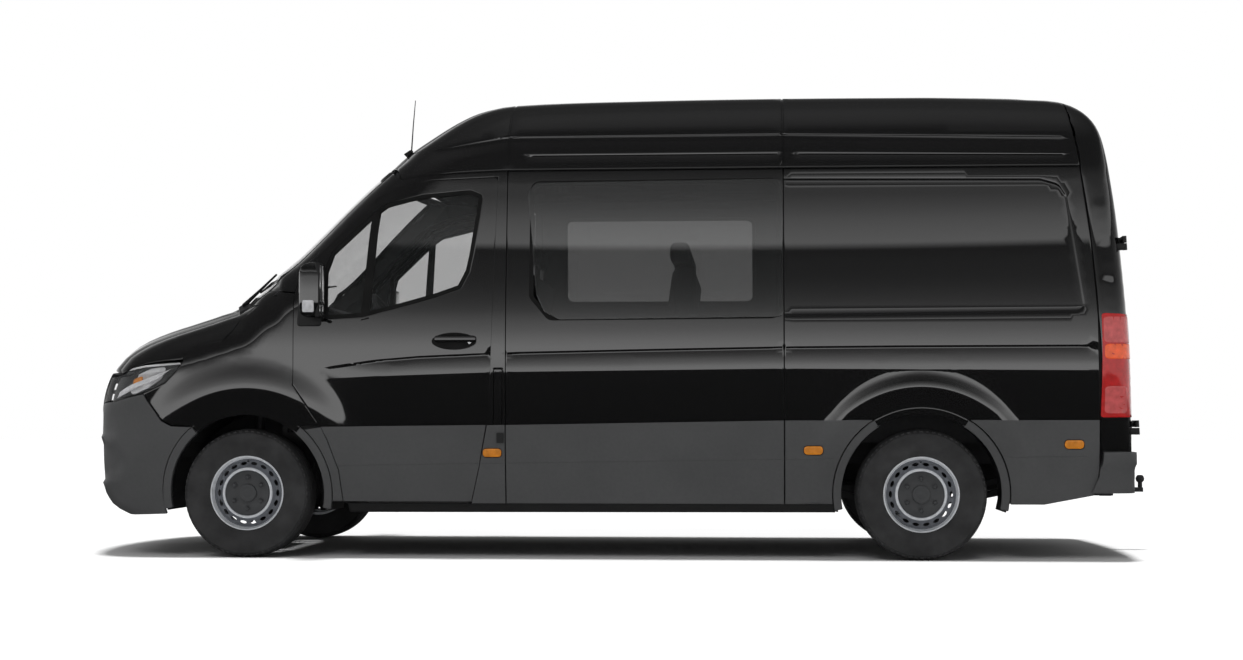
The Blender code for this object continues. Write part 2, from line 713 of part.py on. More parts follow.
BLACK_PAINT = paint("black_paint", (0.006, 0.006, 0.007), 0.12)
GREY_PLASTIC = paint("grey_plastic", (0.035, 0.036, 0.038), 0.6)
STEEL = paint("dark_steel", (0.05, 0.05, 0.05), 0.5, 0.6)
RIM_SILVER = paint("rim_silver", (0.5, 0.5, 0.52), 0.35, 0.8)
TYRE_RUBBER = paint("tyre_rubber", (0.012, 0.012, 0.012), 0.85)
TINTED_GLASS = paint("tinted_glass", (0.05, 0.06, 0.06), 0.03, 0.0, 0.35)
CLEAR_LENS = paint("clear_lens", (0.7, 0.7, 0.7), 0.05, 0.0, 0.6)
RED_LENS = paint("red_lens", (0.35, 0.01, 0.01), 0.1)
CLOTH = paint("grey_cloth", (0.06, 0.06, 0.065), 0.9)


def arch_points(axle_x, grown=0.0, foot=-OVERRUN):
    """Outline of a wheel arch, open below, grown by a distance."""
    half, rise = ARCH_HALF + grown, ARCH_RISE + grown
    points = [(axle_x - half, foot)]
    for step in range(ARCH_STEPS + 1):
        angle = pi - pi * step / ARCH_STEPS
        points.append((axle_x + half * cos(angle), AXLE_Z + rise * sin(angle)))
    points.append((axle_x + half, foot))
    return points


def side_range(side, inner=INNER_SHARE * HALF_WIDTH, outer=ACROSS):
    return sorted((side * inner, side * outer))


def side_block(name, side, ys, low, high, material=None, group=CUTTERS):
    """Box on one side of the vehicle: ys are its distances from the middle."""
    near, far = sorted((side * ys[0], side * ys[1]))
    return block(name, (low[0], near, low[1]), (high[0], far, high[1]), material, group)


def grid_over(outline, columns, rows):
    """Grid lines along and up that cover an outline."""
    xs = [p[0] for p in outline]
    zs = [p[1] for p in outline]
    return (spread(min(xs) - SHUT_GAP, max(xs) + SHUT_GAP, columns),
            spread(min(zs) - SHUT_GAP, max(zs) + SHUT_GAP, rows))


def side_shell(name, side, outline, grid, depth, material, inset=0.0, group=VAN):
    """Part of the body's side inside an outline."""
    shell = skin(name, *grid, sideways(side), depth, material, group, inset)
    return keep(shell, prism(name + "_edge", outline, "XZ", *side_range(side)))


def pane(name, side, outline, grid):
    """Glass that follows the side's skin, a little inside it."""
    return side_shell(name, side, grow(outline, -FIT), grid, GLASS, TINTED_GLASS, GLASS_INSET + FIT)


def outside(name, firsts, seconds, ray, depth):
    """Cutter for what lies outside a shell of a given depth, with its clearance."""
    return skin(name, firsts, seconds, ray, depth + FIT, None, CUTTERS, proud=OVERRUN)


def front_panel():
    low, high = SILL_SHARE, GUTTER_SHARE
    return side_points(((SEAM_FRONT, low), (SEAM_MIDDLE, low), (SEAM_MIDDLE, high),
                        (SEAM_FRONT, high)))


def back_panel():
    low, high = SILL_SHARE, GUTTER_SHARE
    return side_points(((SEAM_MIDDLE, low), (SEAM_TAIL, low), (SEAM_TAIL, high),
                        (SEAM_MIDDLE, high)))


def sides():
    """Left wall, sliding door and right rear wall, each with its gaps and windows."""
    front, back = front_panel(), back_panel()
    window = rounded(side_points(MIDDLE_WINDOW), CORNER)
    arch = arch_points(REAR_AXLE_X)
    for side, front_name, glass_name, back_name in (
            (-1, "side_panel_left", "side_glass_left", "rear_panel_left"),
            (1, "sliding_door", "sliding_door_glass", "rear_panel_right")):
        gap = SHUT_GAP / 2 if side > 0 else FIT
        grid = grid_over(front, 2, 8)
        wall = side_shell(front_name, side, grow(front, -gap), grid, WALL, BLACK_PAINT)
        cut(wall, prism(front_name + "_window", window, "XZ", *side_range(side)))
        pane(glass_name, side, window, grid)
        rear = side_shell(back_name, side, grow(back, -gap), grid_over(back, 4, 8), WALL, BLACK_PAINT)
        cut(rear, prism(back_name + "_arch", arch, "XZ", *side_range(side)))


def door_grid():
    return grid_over(side_points(CAB_DOOR), 4, 8)


def cab_doors():
    """Front-hinged doors, each with its two lights cut and one pane behind them."""
    outline = rounded(side_points(CAB_DOOR), SMALL_CORNER, 2)
    lights = [rounded(side_points(light), SMALL_CORNER, 2) for light in (QUARTER_LIGHT, DROP_LIGHT)]
    whole = rounded(side_points(DOOR_LIGHTS), SMALL_CORNER, 2)
    grid = door_grid()
    for side, word in ((-1, "left"), (1, "right")):
        name = "cab_door_" + word
        door = side_shell(name, side, outline, grid, DOOR_DEPTH, BLACK_PAINT)
        for i, light in enumerate(lights):
            cut(door, prism(name + "_light_" + str(i), light, "XZ", *side_range(side)))
        cut(door, side_shell(name + "_rebate", side, whole, grid, WALL, None, GLASS_INSET, CUTTERS))
        pane("cab_glass_" + word, side, whole, grid)
        pivot(door, (CAB_HINGE_X, side * CAB_HINGE_Y, CAB_HINGE_Z))


def roof():
    """Roof from the top of the windscreen to the rear doors, down to the gutters."""
    xs = list(along(np.array(ROOF_SHARES)))
    top = skin("roof", xs, spread(-ROOF_TURN, ROOF_TURN, 14), around(ROOF_CENTRE_SHARE * HEIGHT),
               ROOF_DEPTH, BLACK_PAINT)
    gutter = GUTTER_SHARE * HEIGHT + FIT
    front = float(along(ROOF_FRONT_SHARE))
    keep(top, block("roof_keep", (front, -ACROSS, gutter), (TAIL_X, ACROSS, ABOVE)))
    cut(top, prism("roof_screen", screen_points(SHUT_GAP / 2), "YZ", NOSE_X, float(along(SEAM_FRONT))))
    cut(top, block("roof_rear", (float(along(SEAM_TAIL)), -ACROSS, gutter - WALL),
                   (TAIL_X, ACROSS, REAR_FRAME_HIGH + FIT)))


def screen_points(margin):
    """Outline of the windscreen seen from the front."""
    points = []
    for half, edge, side_z, middle_z in (
            (-1, SCREEN_FOOT_Y, SCREEN_FOOT_SIDE_Z, SCREEN_FOOT_Z),
            (1, SCREEN_TOP_Y, SCREEN_TOP_SIDE_Z, SCREEN_TOP_Z)):
        for step in range(-SCREEN_STEPS, SCREEN_STEPS + 1):
            t = step / SCREEN_STEPS
            points.append((-half * edge * t, middle_z + (side_z - middle_z) * t * t))
    return grow(rounded(points, SMALL_CORNER, 1), margin)


def windscreen():
    """Laminated pane across the front of the cab."""
    ys = spread(-SCREEN_FOOT_Y - GRID_MARGIN, SCREEN_FOOT_Y + GRID_MARGIN, 8)
    zs = spread(SCREEN_FOOT_SIDE_Z - GRID_MARGIN, SCREEN_TOP_Z + GRID_MARGIN, 4)
    start = float(along(SEAM_FRONT))
    glass = skin("windscreen", ys, zs, forwards(start), SCREEN_DEPTH, TINTED_GLASS, VAN, GLASS_INSET)
    keep(glass, prism("windscreen_edge", screen_points(0), "YZ", NOSE_X, start))


def hinge_x(z):
    """X of the rear doors' leaning hinge axis at a height."""
    share = (z - REAR_DOOR_LOW) / (REAR_HINGE_HIGH_Z - REAR_DOOR_LOW)
    return REAR_HINGE_LOW_X + (REAR_HINGE_HIGH_X - REAR_HINGE_LOW_X) * share


def rear_hinges(name, frame, door, side):
    """Hinge knuckles on the axis: the frame's below, the door's above it."""
    y = side * REAR_HINGE_Y
    for i, middle in enumerate(KNUCKLE_ZS):
        for way, owner in ((-1, frame), (1, door)):
            ends = [(hinge_x(z), y, z) for z in sorted((middle + way * FIT, middle + way * KNUCKLE_LENGTH))]
            word = name + "_" + str(i) + ("_low" if way < 0 else "_high")
            join(owner, rod(word, *ends, KNUCKLE_RADIUS, 10))
            z = middle + way * KNUCKLE_LENGTH / 2
            x = hinge_x(z)
            if way < 0:
                join(owner, rod(word + "_arm", (x, y, z), (x - KNUCKLE_ROOT, y, z), KNUCKLE_ARM, 8))
            else:
                inner = REAR_DOOR_Y - LEAF_WIDTH
                low, high = z - KNUCKLE_LENGTH / 3, z + KNUCKLE_LENGTH / 3
                leaf = side_block(word + "_leaf", side, (inner - LEAF_WIDTH, REAR_HINGE_Y),
                                  (x - LEAF_LOW, low), (x - LEAF_HIGH, high))
                foot = side_block(word + "_foot", side, (inner - LEAF_WIDTH, inner),
                                  (x - KNUCKLE_ROOT, low), (x - LEAF_HIGH, high))
                join(leaf, foot)
                join(owner, leaf)


def rear_grid():
    """Turns and heights of the rays that throw out the rear end's ring."""
    turns = [-turn for turn in reversed(REAR_TURNS[1:])] + list(REAR_TURNS)
    return turns, spread(REAR_FRAME_LOW - GRID_MARGIN, REAR_FRAME_HIGH + GRID_MARGIN, 6)


def rear_end():
    """Ring behind the side walls with the rear doors, their hinges and the tail lamps."""
    ring = skin("rear_frame", *rear_grid(), in_plan(REAR_CENTRE_X, 1), WALL, BLACK_PAINT)
    seam = float(along(SEAM_TAIL)) + FIT
    keep(ring, block("rear_frame_keep", (seam, -ACROSS, REAR_FRAME_LOW), (TAIL_X, ACROSS, REAR_FRAME_HIGH)))
    half = [(y * REAR_DOOR_Y, z * HEIGHT) for y, z in REAR_DOOR_HALF]
    opening = half + [(-y, z) for y, z in reversed(half)]
    cut(ring, prism("rear_opening", grow(opening, SHUT_GAP), "YZ", REAR_AXLE_X + ARCH_HALF, TAIL_X))
    lamp = [(seam + LAMP_INSET, LAMP_LOW), (TAIL_X, LAMP_LOW), (TAIL_X, LAMP_HIGH),
            (seam + LAMP_INSET, LAMP_HIGH)]
    rows = spread(LAMP_LOW - GRID_MARGIN, LAMP_HIGH + GRID_MARGIN, 4)
    for side, word in ((-1, "left"), (1, "right")):
        turns = [side * turn for turn in LAMP_TURNS]
        lens = skin("tail_lamp_" + word, turns, rows, in_plan(REAR_CENTRE_X, 1), LAMP_DEPTH, RED_LENS)
        keep(lens, prism("lamp_edge_" + word, lamp, "XZ",
                         *side_range(side, REAR_DOOR_Y + SHUT_GAP)))
        pocket = skin("lamp_pocket_" + word, turns, rows, in_plan(REAR_CENTRE_X, 1), LAMP_DEPTH + FIT,
                      None, CUTTERS, proud=LAMP_DEPTH)
        keep(pocket, prism("lamp_pocket_edge_" + word, grow(lamp, FIT), "XZ", *side_range(side)))
        cut(ring, pocket)
        ys = sorted((0.0, side * REAR_DOOR_Y))
        door = skin("rear_door_" + word, spread(ys[0] - GRID_MARGIN, ys[1] + GRID_MARGIN, 4),
                    spread(REAR_DOOR_LOW - GRID_MARGIN, half[-1][1] + GRID_MARGIN, 7),
                    backwards(REAR_AXLE_X), DOOR_DEPTH, BLACK_PAINT)
        outline = [(0.0, REAR_DOOR_LOW)] + half + [(0.0, half[-1][1])]
        outline = [(side * max(y, SHUT_GAP / 2), z) for y, z in outline]
        keep(door, prism("rear_door_edge_" + word, outline, "YZ", REAR_AXLE_X + ARCH_HALF, TAIL_X))
        rear_hinges("rear_hinge_" + word, ring, door, side)
        pivot(door, (REAR_HINGE_LOW_X, side * REAR_HINGE_Y, REAR_DOOR_LOW))


def bonnet_points(margin):
    """Plan outline of the bonnet, grown by a margin."""
    nose = AXLE_X - BONNET_NOSE
    tail = AXLE_X - BONNET_REAR
    ys = spread(-BONNET_EDGE_Y, BONNET_EDGE_Y, 8)
    ahead = [(nose + FRONT_SWEEP * y * y, y) for y in ys]
    behind = [(tail + SCREEN_SWEEP * y * y, y) for y in reversed(ys)]
    return grow(ahead + behind, margin)


def bonnet_grid():
    """Grid lines over the bonnet, closer together near the nose."""
    xs = [AXLE_X - BONNET_GRID_X * (1 - (i / 8) ** BONNET_GRID_POWER) for i in range(9)]
    return xs, spread(-BONNET_EDGE_Y - 2 * GRID_MARGIN, BONNET_EDGE_Y + 2 * GRID_MARGIN, 8)


def bonnet():
    lid = skin("bonnet", *bonnet_grid(), upwards(BONNET_START_Z), BONNET_DEPTH, BLACK_PAINT)
    keep(lid, prism("bonnet_edge", bonnet_points(0), "XY", BONNET_LOW, ABOVE))
    pivot(lid, (BONNET_HINGE_X, 0, BONNET_HINGE_Z))


def bumper_grid():
    rows = [share * HEIGHT for share in BUMPER_SHARES] + [CLADDING_TOP + GRID_MARGIN]
    return spread(-NOSE_TURN, NOSE_TURN, 18), rows


def front_bumper():
    """Wrap-round bumper up to the lamps, cut by the wheel arches."""
    bumper = skin("front_bumper", *bumper_grid(), in_plan(NOSE_CENTRE_X, -1), BUMPER_DEPTH, GREY_PLASTIC)
    keep(bumper, block("bumper_keep", (NOSE_X, -ACROSS, BUMPER_LOW),
                       (AXLE_X - BUMPER_REACH, ACROSS, CLADDING_TOP)))
    cut(bumper, prism("bumper_arch", arch_points(AXLE_X), "XZ", -ACROSS, ACROSS))


def grille():
    half = GRILLE_HALF
    low, high = CLADDING_TOP + FIT, BONNET_LOW - SHUT_GAP
    panel = skin("grille", spread(-half - GRID_MARGIN, half + GRID_MARGIN, 8),
                 [low - GRID_MARGIN, GRILLE_MIDDLE, high + GRID_MARGIN], forwards(AXLE_X), SHEET,
                 GREY_PLASTIC)
    keep(panel, block("grille_keep", (NOSE_X, -half, low), (AXLE_X - BUMPER_REACH, half, high)))


def wing_grid(side):
    """Turns and rises of the rays that throw out a wing."""
    return [side * a for a in spread(*WING_TURNS, 16)], spread(*WING_RISES, 11)


def lamps_and_wings():
    """Headlamps and, behind them, the wings up to the windscreen and cab doors."""
    outline = rounded(side_points(HEADLAMP), SMALL_CORNER, 2)
    seam_z = BONNET_LOW - SHUT_GAP
    edge_y = BONNET_EDGE_Y + SHUT_GAP
    for side, word in ((-1, "left"), (1, "right")):
        span = side_range(side, GRILLE_HALF + FIT)
        lamp = skin("headlamp_" + word, [side * a for a in spread(*HEADLAMP_TURNS, 7)],
                    spread(LAMP_SHELL_LOW, LAMP_SHELL_HIGH, 4), in_plan(NOSE_CENTRE_X, -1),
                    LAMP_SHELL, CLEAR_LENS)
        keep(lamp, prism("headlamp_edge_" + word, outline, "XZ", *span))
        cut(lamp, prism("lamp_bonnet_" + word, bonnet_points(SHUT_GAP), "XY", seam_z, ABOVE))
        wing = skin("wing_" + word, *wing_grid(side), from_point(WING_CENTRE_X, WING_CENTRE_Z), SHEET,
                    BLACK_PAINT)
        keep(wing, block("wing_keep_" + word, (NOSE_X, span[0], SILL_SHARE * HEIGHT),
                         (AXLE_X + WING_REAR, span[1], WING_TOP)))
        cut(wing, block("wing_bumper_" + word, (NOSE_X, -ACROSS, -OVERRUN),
                        (AXLE_X, ACROSS, CLADDING_TOP + FIT)))
        cut(wing, prism("wing_lamp_" + word, grow(outline, FIT), "XZ", *side_range(side, WING_INNER_Y)))
        cut(wing, block("wing_bonnet_" + word, (NOSE_X, -edge_y, seam_z),
                        (AXLE_X + WING_REAR, edge_y, ABOVE)))
        cut(wing, prism("wing_screen_" + word, screen_points(FIT), "YZ", NOSE_X, AXLE_X + WING_REAR))
        cut(wing, prism("wing_arch_" + word, arch_points(AXLE_X), "XZ", *side_range(side)))
        door = grow(side_points(CAB_DOOR), SHUT_GAP)
        cut(wing, prism("wing_door_" + word, door, "XZ", *side_range(side)))


def cab_shell():
    """Ring of pillars, cant rails and scuttle, cut for the doors, screen and bonnet."""
    xs = spread(AXLE_X - CAB_FRONT - GRID_MARGIN, float(along(SEAM_FRONT)) + GRID_MARGIN, 8)
    frame = skin("cab_frame", xs, spread(-CAB_TURN, CAB_TURN, 24), around(CAB_CENTRE_Z), WALL, BLACK_PAINT)
    low, high = SILL_SHARE * HEIGHT, GUTTER_SHARE * HEIGHT
    seam = float(along(SEAM_FRONT)) - SHUT_GAP
    keep(frame, block("cab_frame_keep", (AXLE_X - CAB_FRONT, -ACROSS, low), (seam, ACROSS, high)))
    cut(frame, prism("cab_screen", screen_points(FIT), "YZ", NOSE_X, float(along(SEAM_FRONT))))
    cut(frame, prism("cab_bonnet", bonnet_points(SHUT_GAP), "XY", -OVERRUN, ABOVE))
    cut(frame, block("cab_under_wing", (NOSE_X, -ACROSS, -OVERRUN),
                     (FIREWALL_X + FIREWALL_LAP, ACROSS, UNDER_WING_TOP)))
    for side, word in ((-1, "left"), (1, "right")):
        pocket = skin("wing_pocket_" + word, *wing_grid(side), from_point(WING_CENTRE_X, WING_CENTRE_Z),
                      SHEET + FIT, None, CUTTERS, proud=SHEET)
        keep(pocket, prism("wing_pocket_edge_" + word, side_points(WING_AREA), "XZ",
                           *side_range(side, BONNET_EDGE_Y + SHUT_GAP - FIT)))
        cut(frame, pocket)
        doorway = rounded(grow(side_points(CAB_DOOR), SHUT_GAP), SMALL_CORNER, 2)
        cut(frame, prism("cab_doorway_" + word, doorway, "XZ", *side_range(side)))
    return frame


def cab_floor():
    """Floor plate with a step well rail below each door and a beam between the rear posts."""
    rear = float(along(SEAM_FRONT)) - SHUT_GAP
    plate = block("cab_floor", (FIREWALL_X, -HALF_WIDTH, FLOOR_LOW), (rear, HALF_WIDTH, CAB_FLOOR_TOP))
    for side in (-1, 1):
        join(plate, side_block("cab_step_" + str(side), side, (CAB_STEP_INNER, CAB_STEP_OUTER),
                               (CAB_STEP_X, CAB_STEP_LOW), (rear, CAB_FLOOR_TOP)))
        cut(plate, outside("door_clear_" + str(side), *door_grid(), sideways(side),
                           DOOR_DEPTH + SHUT_GAP))
        join(plate, side_block("cab_beam_" + str(side), side, (CAB_STEP_OUTER - CAB_BEAM, CAB_BEAM_HALF),
                               (rear - CAB_BEAM / 2, CAB_STEP_LOW), (rear, CAB_FLOOR_TOP)))
    return plate


def cab_frame():
    """Cab shell with its firewall, floor, wheel housings and the lugs of doors and bonnet."""
    frame = cab_shell()
    half = [(FIREWALL_HALF, FLOOR_LOW), (FIREWALL_HALF, FIREWALL_BEND), (FIREWALL_TOP_HALF, FIREWALL_TOP)]
    plate = half + [(-y, z) for y, z in reversed(half)]
    join(frame, prism("firewall", plate, "YZ", FIREWALL_X, FIREWALL_X + FIREWALL_DEPTH), cab_floor())
    outer = arch_points(AXLE_X, HOUSE_GAP + HOUSE_SHEET, HOUSE_FOOT)
    inner = arch_points(AXLE_X, HOUSE_GAP, HOUSE_FOOT)
    middle = arch_points(AXLE_X, HOUSE_GAP + HOUSE_SHEET / 2)
    for side, word in ((-1, "left"), (1, "right")):
        cut(frame, prism("cab_arch_" + word, middle, "XZ", *side_range(side, HOUSE_INNER_Y)))
        join(frame, prism("liner_" + word, outer + inner[::-1], "XZ",
                          *side_range(side, HOUSE_INNER_Y, HOUSE_OUTER_Y)))
        bonnet_lug(frame, side)
        door_lugs(frame, side)
    return frame


def bonnet_lug(frame, side):
    """Seat under a rear corner of the bonnet, at its hinge."""
    lug = skin("bonnet_lug_" + str(side), *bonnet_grid(), upwards(BONNET_START_Z),
               BONNET_DEPTH + FIT + BONNET_LUG_DEPTH, None, CUTTERS)
    keep(lug, side_block("bonnet_lug_edge_" + str(side), side,
                         (BONNET_LUG_Y - BONNET_LUG_HALF, BONNET_LUG_Y + BONNET_LUG_HALF),
                         (AXLE_X - BONNET_LUG_FRONT, BONNET_LOW), (AXLE_X - BONNET_LUG_REAR, ABOVE)))
    cut(lug, outside("bonnet_clear_" + str(side), *bonnet_grid(), upwards(BONNET_START_Z), BONNET_DEPTH))
    join(frame, lug)


def door_lugs(frame, side):
    """Hinge lugs in the gap ahead of a cab door, on the inner side of its axis."""
    (top_x, top_z), (low_x, low_z) = side_points((CAB_DOOR[0], CAB_DOOR[-1]))
    for i, middle in enumerate(CAB_LUG_ZS):
        z = middle + CAB_LUG_HALF
        edge = low_x + (top_x - low_x) * (z - low_z) / (top_z - low_z) - FIT
        join(frame, side_block("door_lug_" + str(side) + "_" + str(i), side,
                               (CAB_HINGE_Y - DOOR_DEPTH, CAB_HINGE_Y - DOOR_DEPTH + CAB_LUG_DEPTH),
                               (edge - CAB_LUG_ROOT, middle - CAB_LUG_HALF), (edge, z)))


def tyre_profile():
    """Closed section of a tyre, from the inner bead round the outside."""
    radii = (TYRE_RADIUS, TYRE_RADIUS - TREAD_DROP, TYRE_RADIUS - SHOULDER_DROP,
             RIM_RADIUS + TREAD_DROP, BEAD_RADIUS, BEAD_RADIUS, BEAD_RADIUS + TREAD_DROP * 2)
    half = [(r, TYRE_HALF * share) for r, share in zip(radii, TYRE_HALF_SHARES)]
    return list(reversed(half)) + [(r, -z) for r, z in half]


def rim_profile():
    """Section of a rim with its disc and centre cap, from the middle round to the back."""
    seat = BEAD_RADIUS - FIT
    flange = TYRE_HALF * TYRE_HALF_SHARES[4] - FIT
    out = DISC_OUT
    return [(0.0, out + CAP_HIGH), (CAP_RADIUS * 3 / 4, out + CAP_HIGH), (CAP_RADIUS, out + CAP_EDGE),
            (RING_INNER, out + CAP_EDGE), (RING_INNER + FLANGE_LIP, out + RING_HIGH),
            (RING_OUTER, out + RING_HIGH), (DISC_DIP_RADIUS, out + DISC_DIP),
            (DISC_EDGE_RADIUS, out + DISC_EDGE), (BARREL_RADIUS, out + DISC_DIP),
            (BARREL_RADIUS, flange - FLANGE_LIP), (seat, flange), (seat, -flange),
            (BARREL_RADIUS, -flange), (BARREL_RADIUS, out - DISC_BACK), (RING_OUTER, out),
            (CAP_RADIUS, out), (0.0, out)]


def wheels():
    """Tyre and steel rim of each wheel, turned about the axle line."""
    for x, axle in ((AXLE_X, "front"), (REAR_AXLE_X, "rear")):
        for side, word in ((-1, "left"), (1, "right")):
            for part, profile, colour in (("tyre", tyre_profile(), TYRE_RUBBER),
                                          ("rim", rim_profile(), RIM_SILVER)):
                wheel = turned("_".join((part, axle, word)), profile, WHEEL_STEPS, colour)
                wheel.location = (x, side * WHEEL_Y, AXLE_Z)
                wheel.rotation_euler = (-side * pi / 2, 0, 0)


def load_floor():
    """Load floor out to the side walls, with a housing over each rear wheel."""
    plate = block("load_floor", (float(along(SEAM_FRONT)) + FIT, -HALF_WIDTH, FLOOR_LOW),
                  (FLOOR_TAIL_X, HALF_WIDTH, FLOOR_TOP), STEEL, VAN)
    outer = arch_points(REAR_AXLE_X, HOUSE_GAP + HOUSE_SHEET, FLOOR_LOW)
    inner = arch_points(REAR_AXLE_X, HOUSE_GAP)
    for side in (-1, 1):
        word = str(side)
        join(plate, prism("house_" + word, outer[1:-1], "XZ", *side_range(side, FLOOR_HOUSE_Y, HALF_WIDTH)))
        cut(plate, prism("hollow_" + word, inner, "XZ", *side_range(side, FLOOR_HOUSE_Y + HOUSE_SHEET)))
        for part, panel, columns in (("front", front_panel(), 2), ("back", back_panel(), 4)):
            cut(plate, outside("wall_clear_" + part + word, *grid_over(panel, columns, 8),
                               sideways(side), WALL))
    cut(plate, block("under_houses", (REAR_AXLE_X - ARCH_HALF - OVERRUN, -ACROSS, -OVERRUN),
                     (REAR_AXLE_X + ARCH_HALF + OVERRUN, ACROSS, FLOOR_LOW)))
    cut(plate, outside("tail_clear", *rear_grid(), in_plan(REAR_CENTRE_X, 1), WALL))
    return plate


def rails():
    """Two rails under the floors with their crossmembers and engine mounts."""
    front = AXLE_X - RAIL_FRONT
    back = float(along(RAIL_END_SHARE))
    frame = side_block("chassis_frame", 1, (RAIL_Y - RAIL_HALF, RAIL_Y + RAIL_HALF),
                       (front, RAIL_LOW), (back, RAIL_HIGH), STEEL, VAN)
    other = side_block("other_rail", -1, (RAIL_Y - RAIL_HALF, RAIL_Y + RAIL_HALF),
                       (front, RAIL_LOW), (back, RAIL_HIGH))
    for side, rail in ((1, frame), (-1, other)):
        join(rail, side_block("engine_mount_" + str(side), side, (ENGINE_HALF + FIT, RAIL_Y),
                              (ENGINE_MOUNT_X - ENGINE_MOUNT_HALF, RAIL_LOW + CROSS_INSET),
                              (ENGINE_MOUNT_X + ENGINE_MOUNT_HALF, RAIL_HIGH - CROSS_INSET)))
    stations = [AXLE_X - CROSS_FRONT] + [float(along(share)) for share in CROSS_SHARES]
    for i, x in enumerate(stations):
        join(frame, block("cross_" + str(i), (x - CROSS_HALF, -RAIL_Y, RAIL_LOW + CROSS_INSET),
                          (x + CROSS_HALF, RAIL_Y, RAIL_HIGH - CROSS_INSET)))
    join(frame, other)
    cut(frame, outside("bumper_clear", *bumper_grid(), in_plan(NOSE_CENTRE_X, -1), BUMPER_DEPTH))
    return frame


def king_point(side, z):
    """Point on a front wheel's leaning steering axis."""
    return Vector((AXLE_X, side * (STEER_Y - (z - AXLE_Z) * tan(STEER_TILT)), z))


def spring_z(reach):
    """Underside of a leaf spring at a share of its half length."""
    return AXLE_Z - SPRING_DROP + SPRING_RISE * reach * reach


def chassis():
    """Rails with the front arms and their ball joints, spring hangers and the tank."""
    frame = rails()
    for side in (-1, 1):
        foot = king_point(side, KING_LOW)
        down = (foot - king_point(side, KING_HIGH)).normalized()
        joint = foot + down * BALL_JOINT_DEPTH
        join(frame, rod("ball_joint_" + str(side), foot + down * FIT, joint, BALL_JOINT_RADIUS, 10))
        for i, reach in enumerate(ARM_PLACES):
            start = (AXLE_X + reach, side * RAIL_Y, ARM_Z)
            join(frame, rod("arm_post_" + str(side) + "_" + str(i),
                            (start[0], start[1], ARM_Z - ARM_RADIUS),
                            (start[0], start[1], RAIL_LOW + ARM_RADIUS), ARM_RADIUS, 8))
            end = (AXLE_X + reach * ARM_END_SHARE, joint.y, joint.z)
            join(frame, rod("arm_" + str(side) + "_" + str(i), start, end, ARM_RADIUS, 8))
        for way in (-1, 1):
            x = REAR_AXLE_X + way * (SPRING_HALF - HANGER_HALF)
            join(frame, side_block("hanger_" + str(side) + "_" + str(way), side,
                                   (RAIL_Y, SPRING_OUTER),
                                   (x - HANGER_HALF, spring_z(1) + SPRING_DEPTH + FIT),
                                   (x + HANGER_HALF, RAIL_HIGH - CROSS_INSET)))
    low, high = (float(along(share)) for share in TANK_SHARES)
    join(frame, side_block("tank", -1, (TANK_INNER, TANK_OUTER), (low, TANK_LOW),
                           (high, RAIL_LOW + TANK_LAP)))


def knuckles():
    """Steered knuckles, each with its hub, strut and steering arm."""
    slope = tan(pi / (2 * ARCH_STEPS)) * ARCH_RISE / ARCH_HALF
    top_z = AXLE_Z + ARCH_RISE + HOUSE_GAP - 2 * FIT - STRUT_RADIUS * hypot(sin(STEER_TILT), slope)
    for side, word in ((-1, "left"), (1, "right")):
        knuckle = rod("knuckle_" + word, king_point(side, KING_LOW), king_point(side, KING_HIGH),
                      KING_RADIUS, 12, STEEL, VAN)
        join(knuckle, rod("strut_" + word, king_point(side, KING_HIGH - STRUT_RADIUS),
                          king_point(side, top_z), STRUT_RADIUS, 12))
        join(knuckle, rod("hub_" + word, (AXLE_X, side * (STEER_Y - HUB_LAP), AXLE_Z),
                          (AXLE_X, side * (WHEEL_Y + DISC_OUT - FIT), AXLE_Z), HUB_RADIUS, 16))
        z = AXLE_Z - STEER_ARM_DROP
        join(knuckle, rod("steer_arm_" + word, (AXLE_X, side * STEER_Y, z),
                          (AXLE_X + STEER_ARM_REACH, side * (STEER_Y - STEER_ARM_DROP), z),
                          STEER_ARM_RADIUS, 8))
        pivot(knuckle, (AXLE_X, side * STEER_Y, AXLE_Z))


def rear_axle():
    """Live axle with its differential, prop shaft and leaf springs."""
    reach = WHEEL_Y + DISC_OUT - FIT
    axle = rod("rear_axle", (REAR_AXLE_X, -reach, AXLE_Z), (REAR_AXLE_X, reach, AXLE_Z), BEAM_RADIUS, 16,
               STEEL, VAN)
    join(axle, rod("differential", (REAR_AXLE_X - DIFF_HALF, 0, AXLE_Z), (REAR_AXLE_X + DIFF_HALF, 0, AXLE_Z),
                   DIFF_RADIUS, 16))
    join(axle, rod("prop_shaft", (float(along(PROP_SHARE)), 0, PROP_Z), (REAR_AXLE_X, 0, AXLE_Z),
                   PROP_RADIUS, 10))
    reaches = [i / SPRING_STEPS for i in range(-SPRING_STEPS, SPRING_STEPS + 1)]
    under = [(REAR_AXLE_X + SPRING_HALF * q, spring_z(q)) for q in reaches]
    over = [(x, z + SPRING_DEPTH) for x, z in reversed(under)]
    for side in (-1, 1):
        join(axle, prism("spring_" + str(side), under + over, "XZ",
                         *side_range(side, SPRING_INNER, SPRING_OUTER)))


def engine():
    """The engine's mass as one plain block between the rails."""
    block("engine_block", (AXLE_X - ENGINE_FRONT, -ENGINE_HALF, ENGINE_LOW),
          (AXLE_X + ENGINE_REAR, ENGINE_HALF, ENGINE_HIGH), STEEL, VAN)


def softened(thing, width, segments=2):
    """Rounds the edges of a simple solid."""
    edge = thing.modifiers.new("soft_edge", "BEVEL")
    edge.width = width
    edge.segments = segments
    return thing


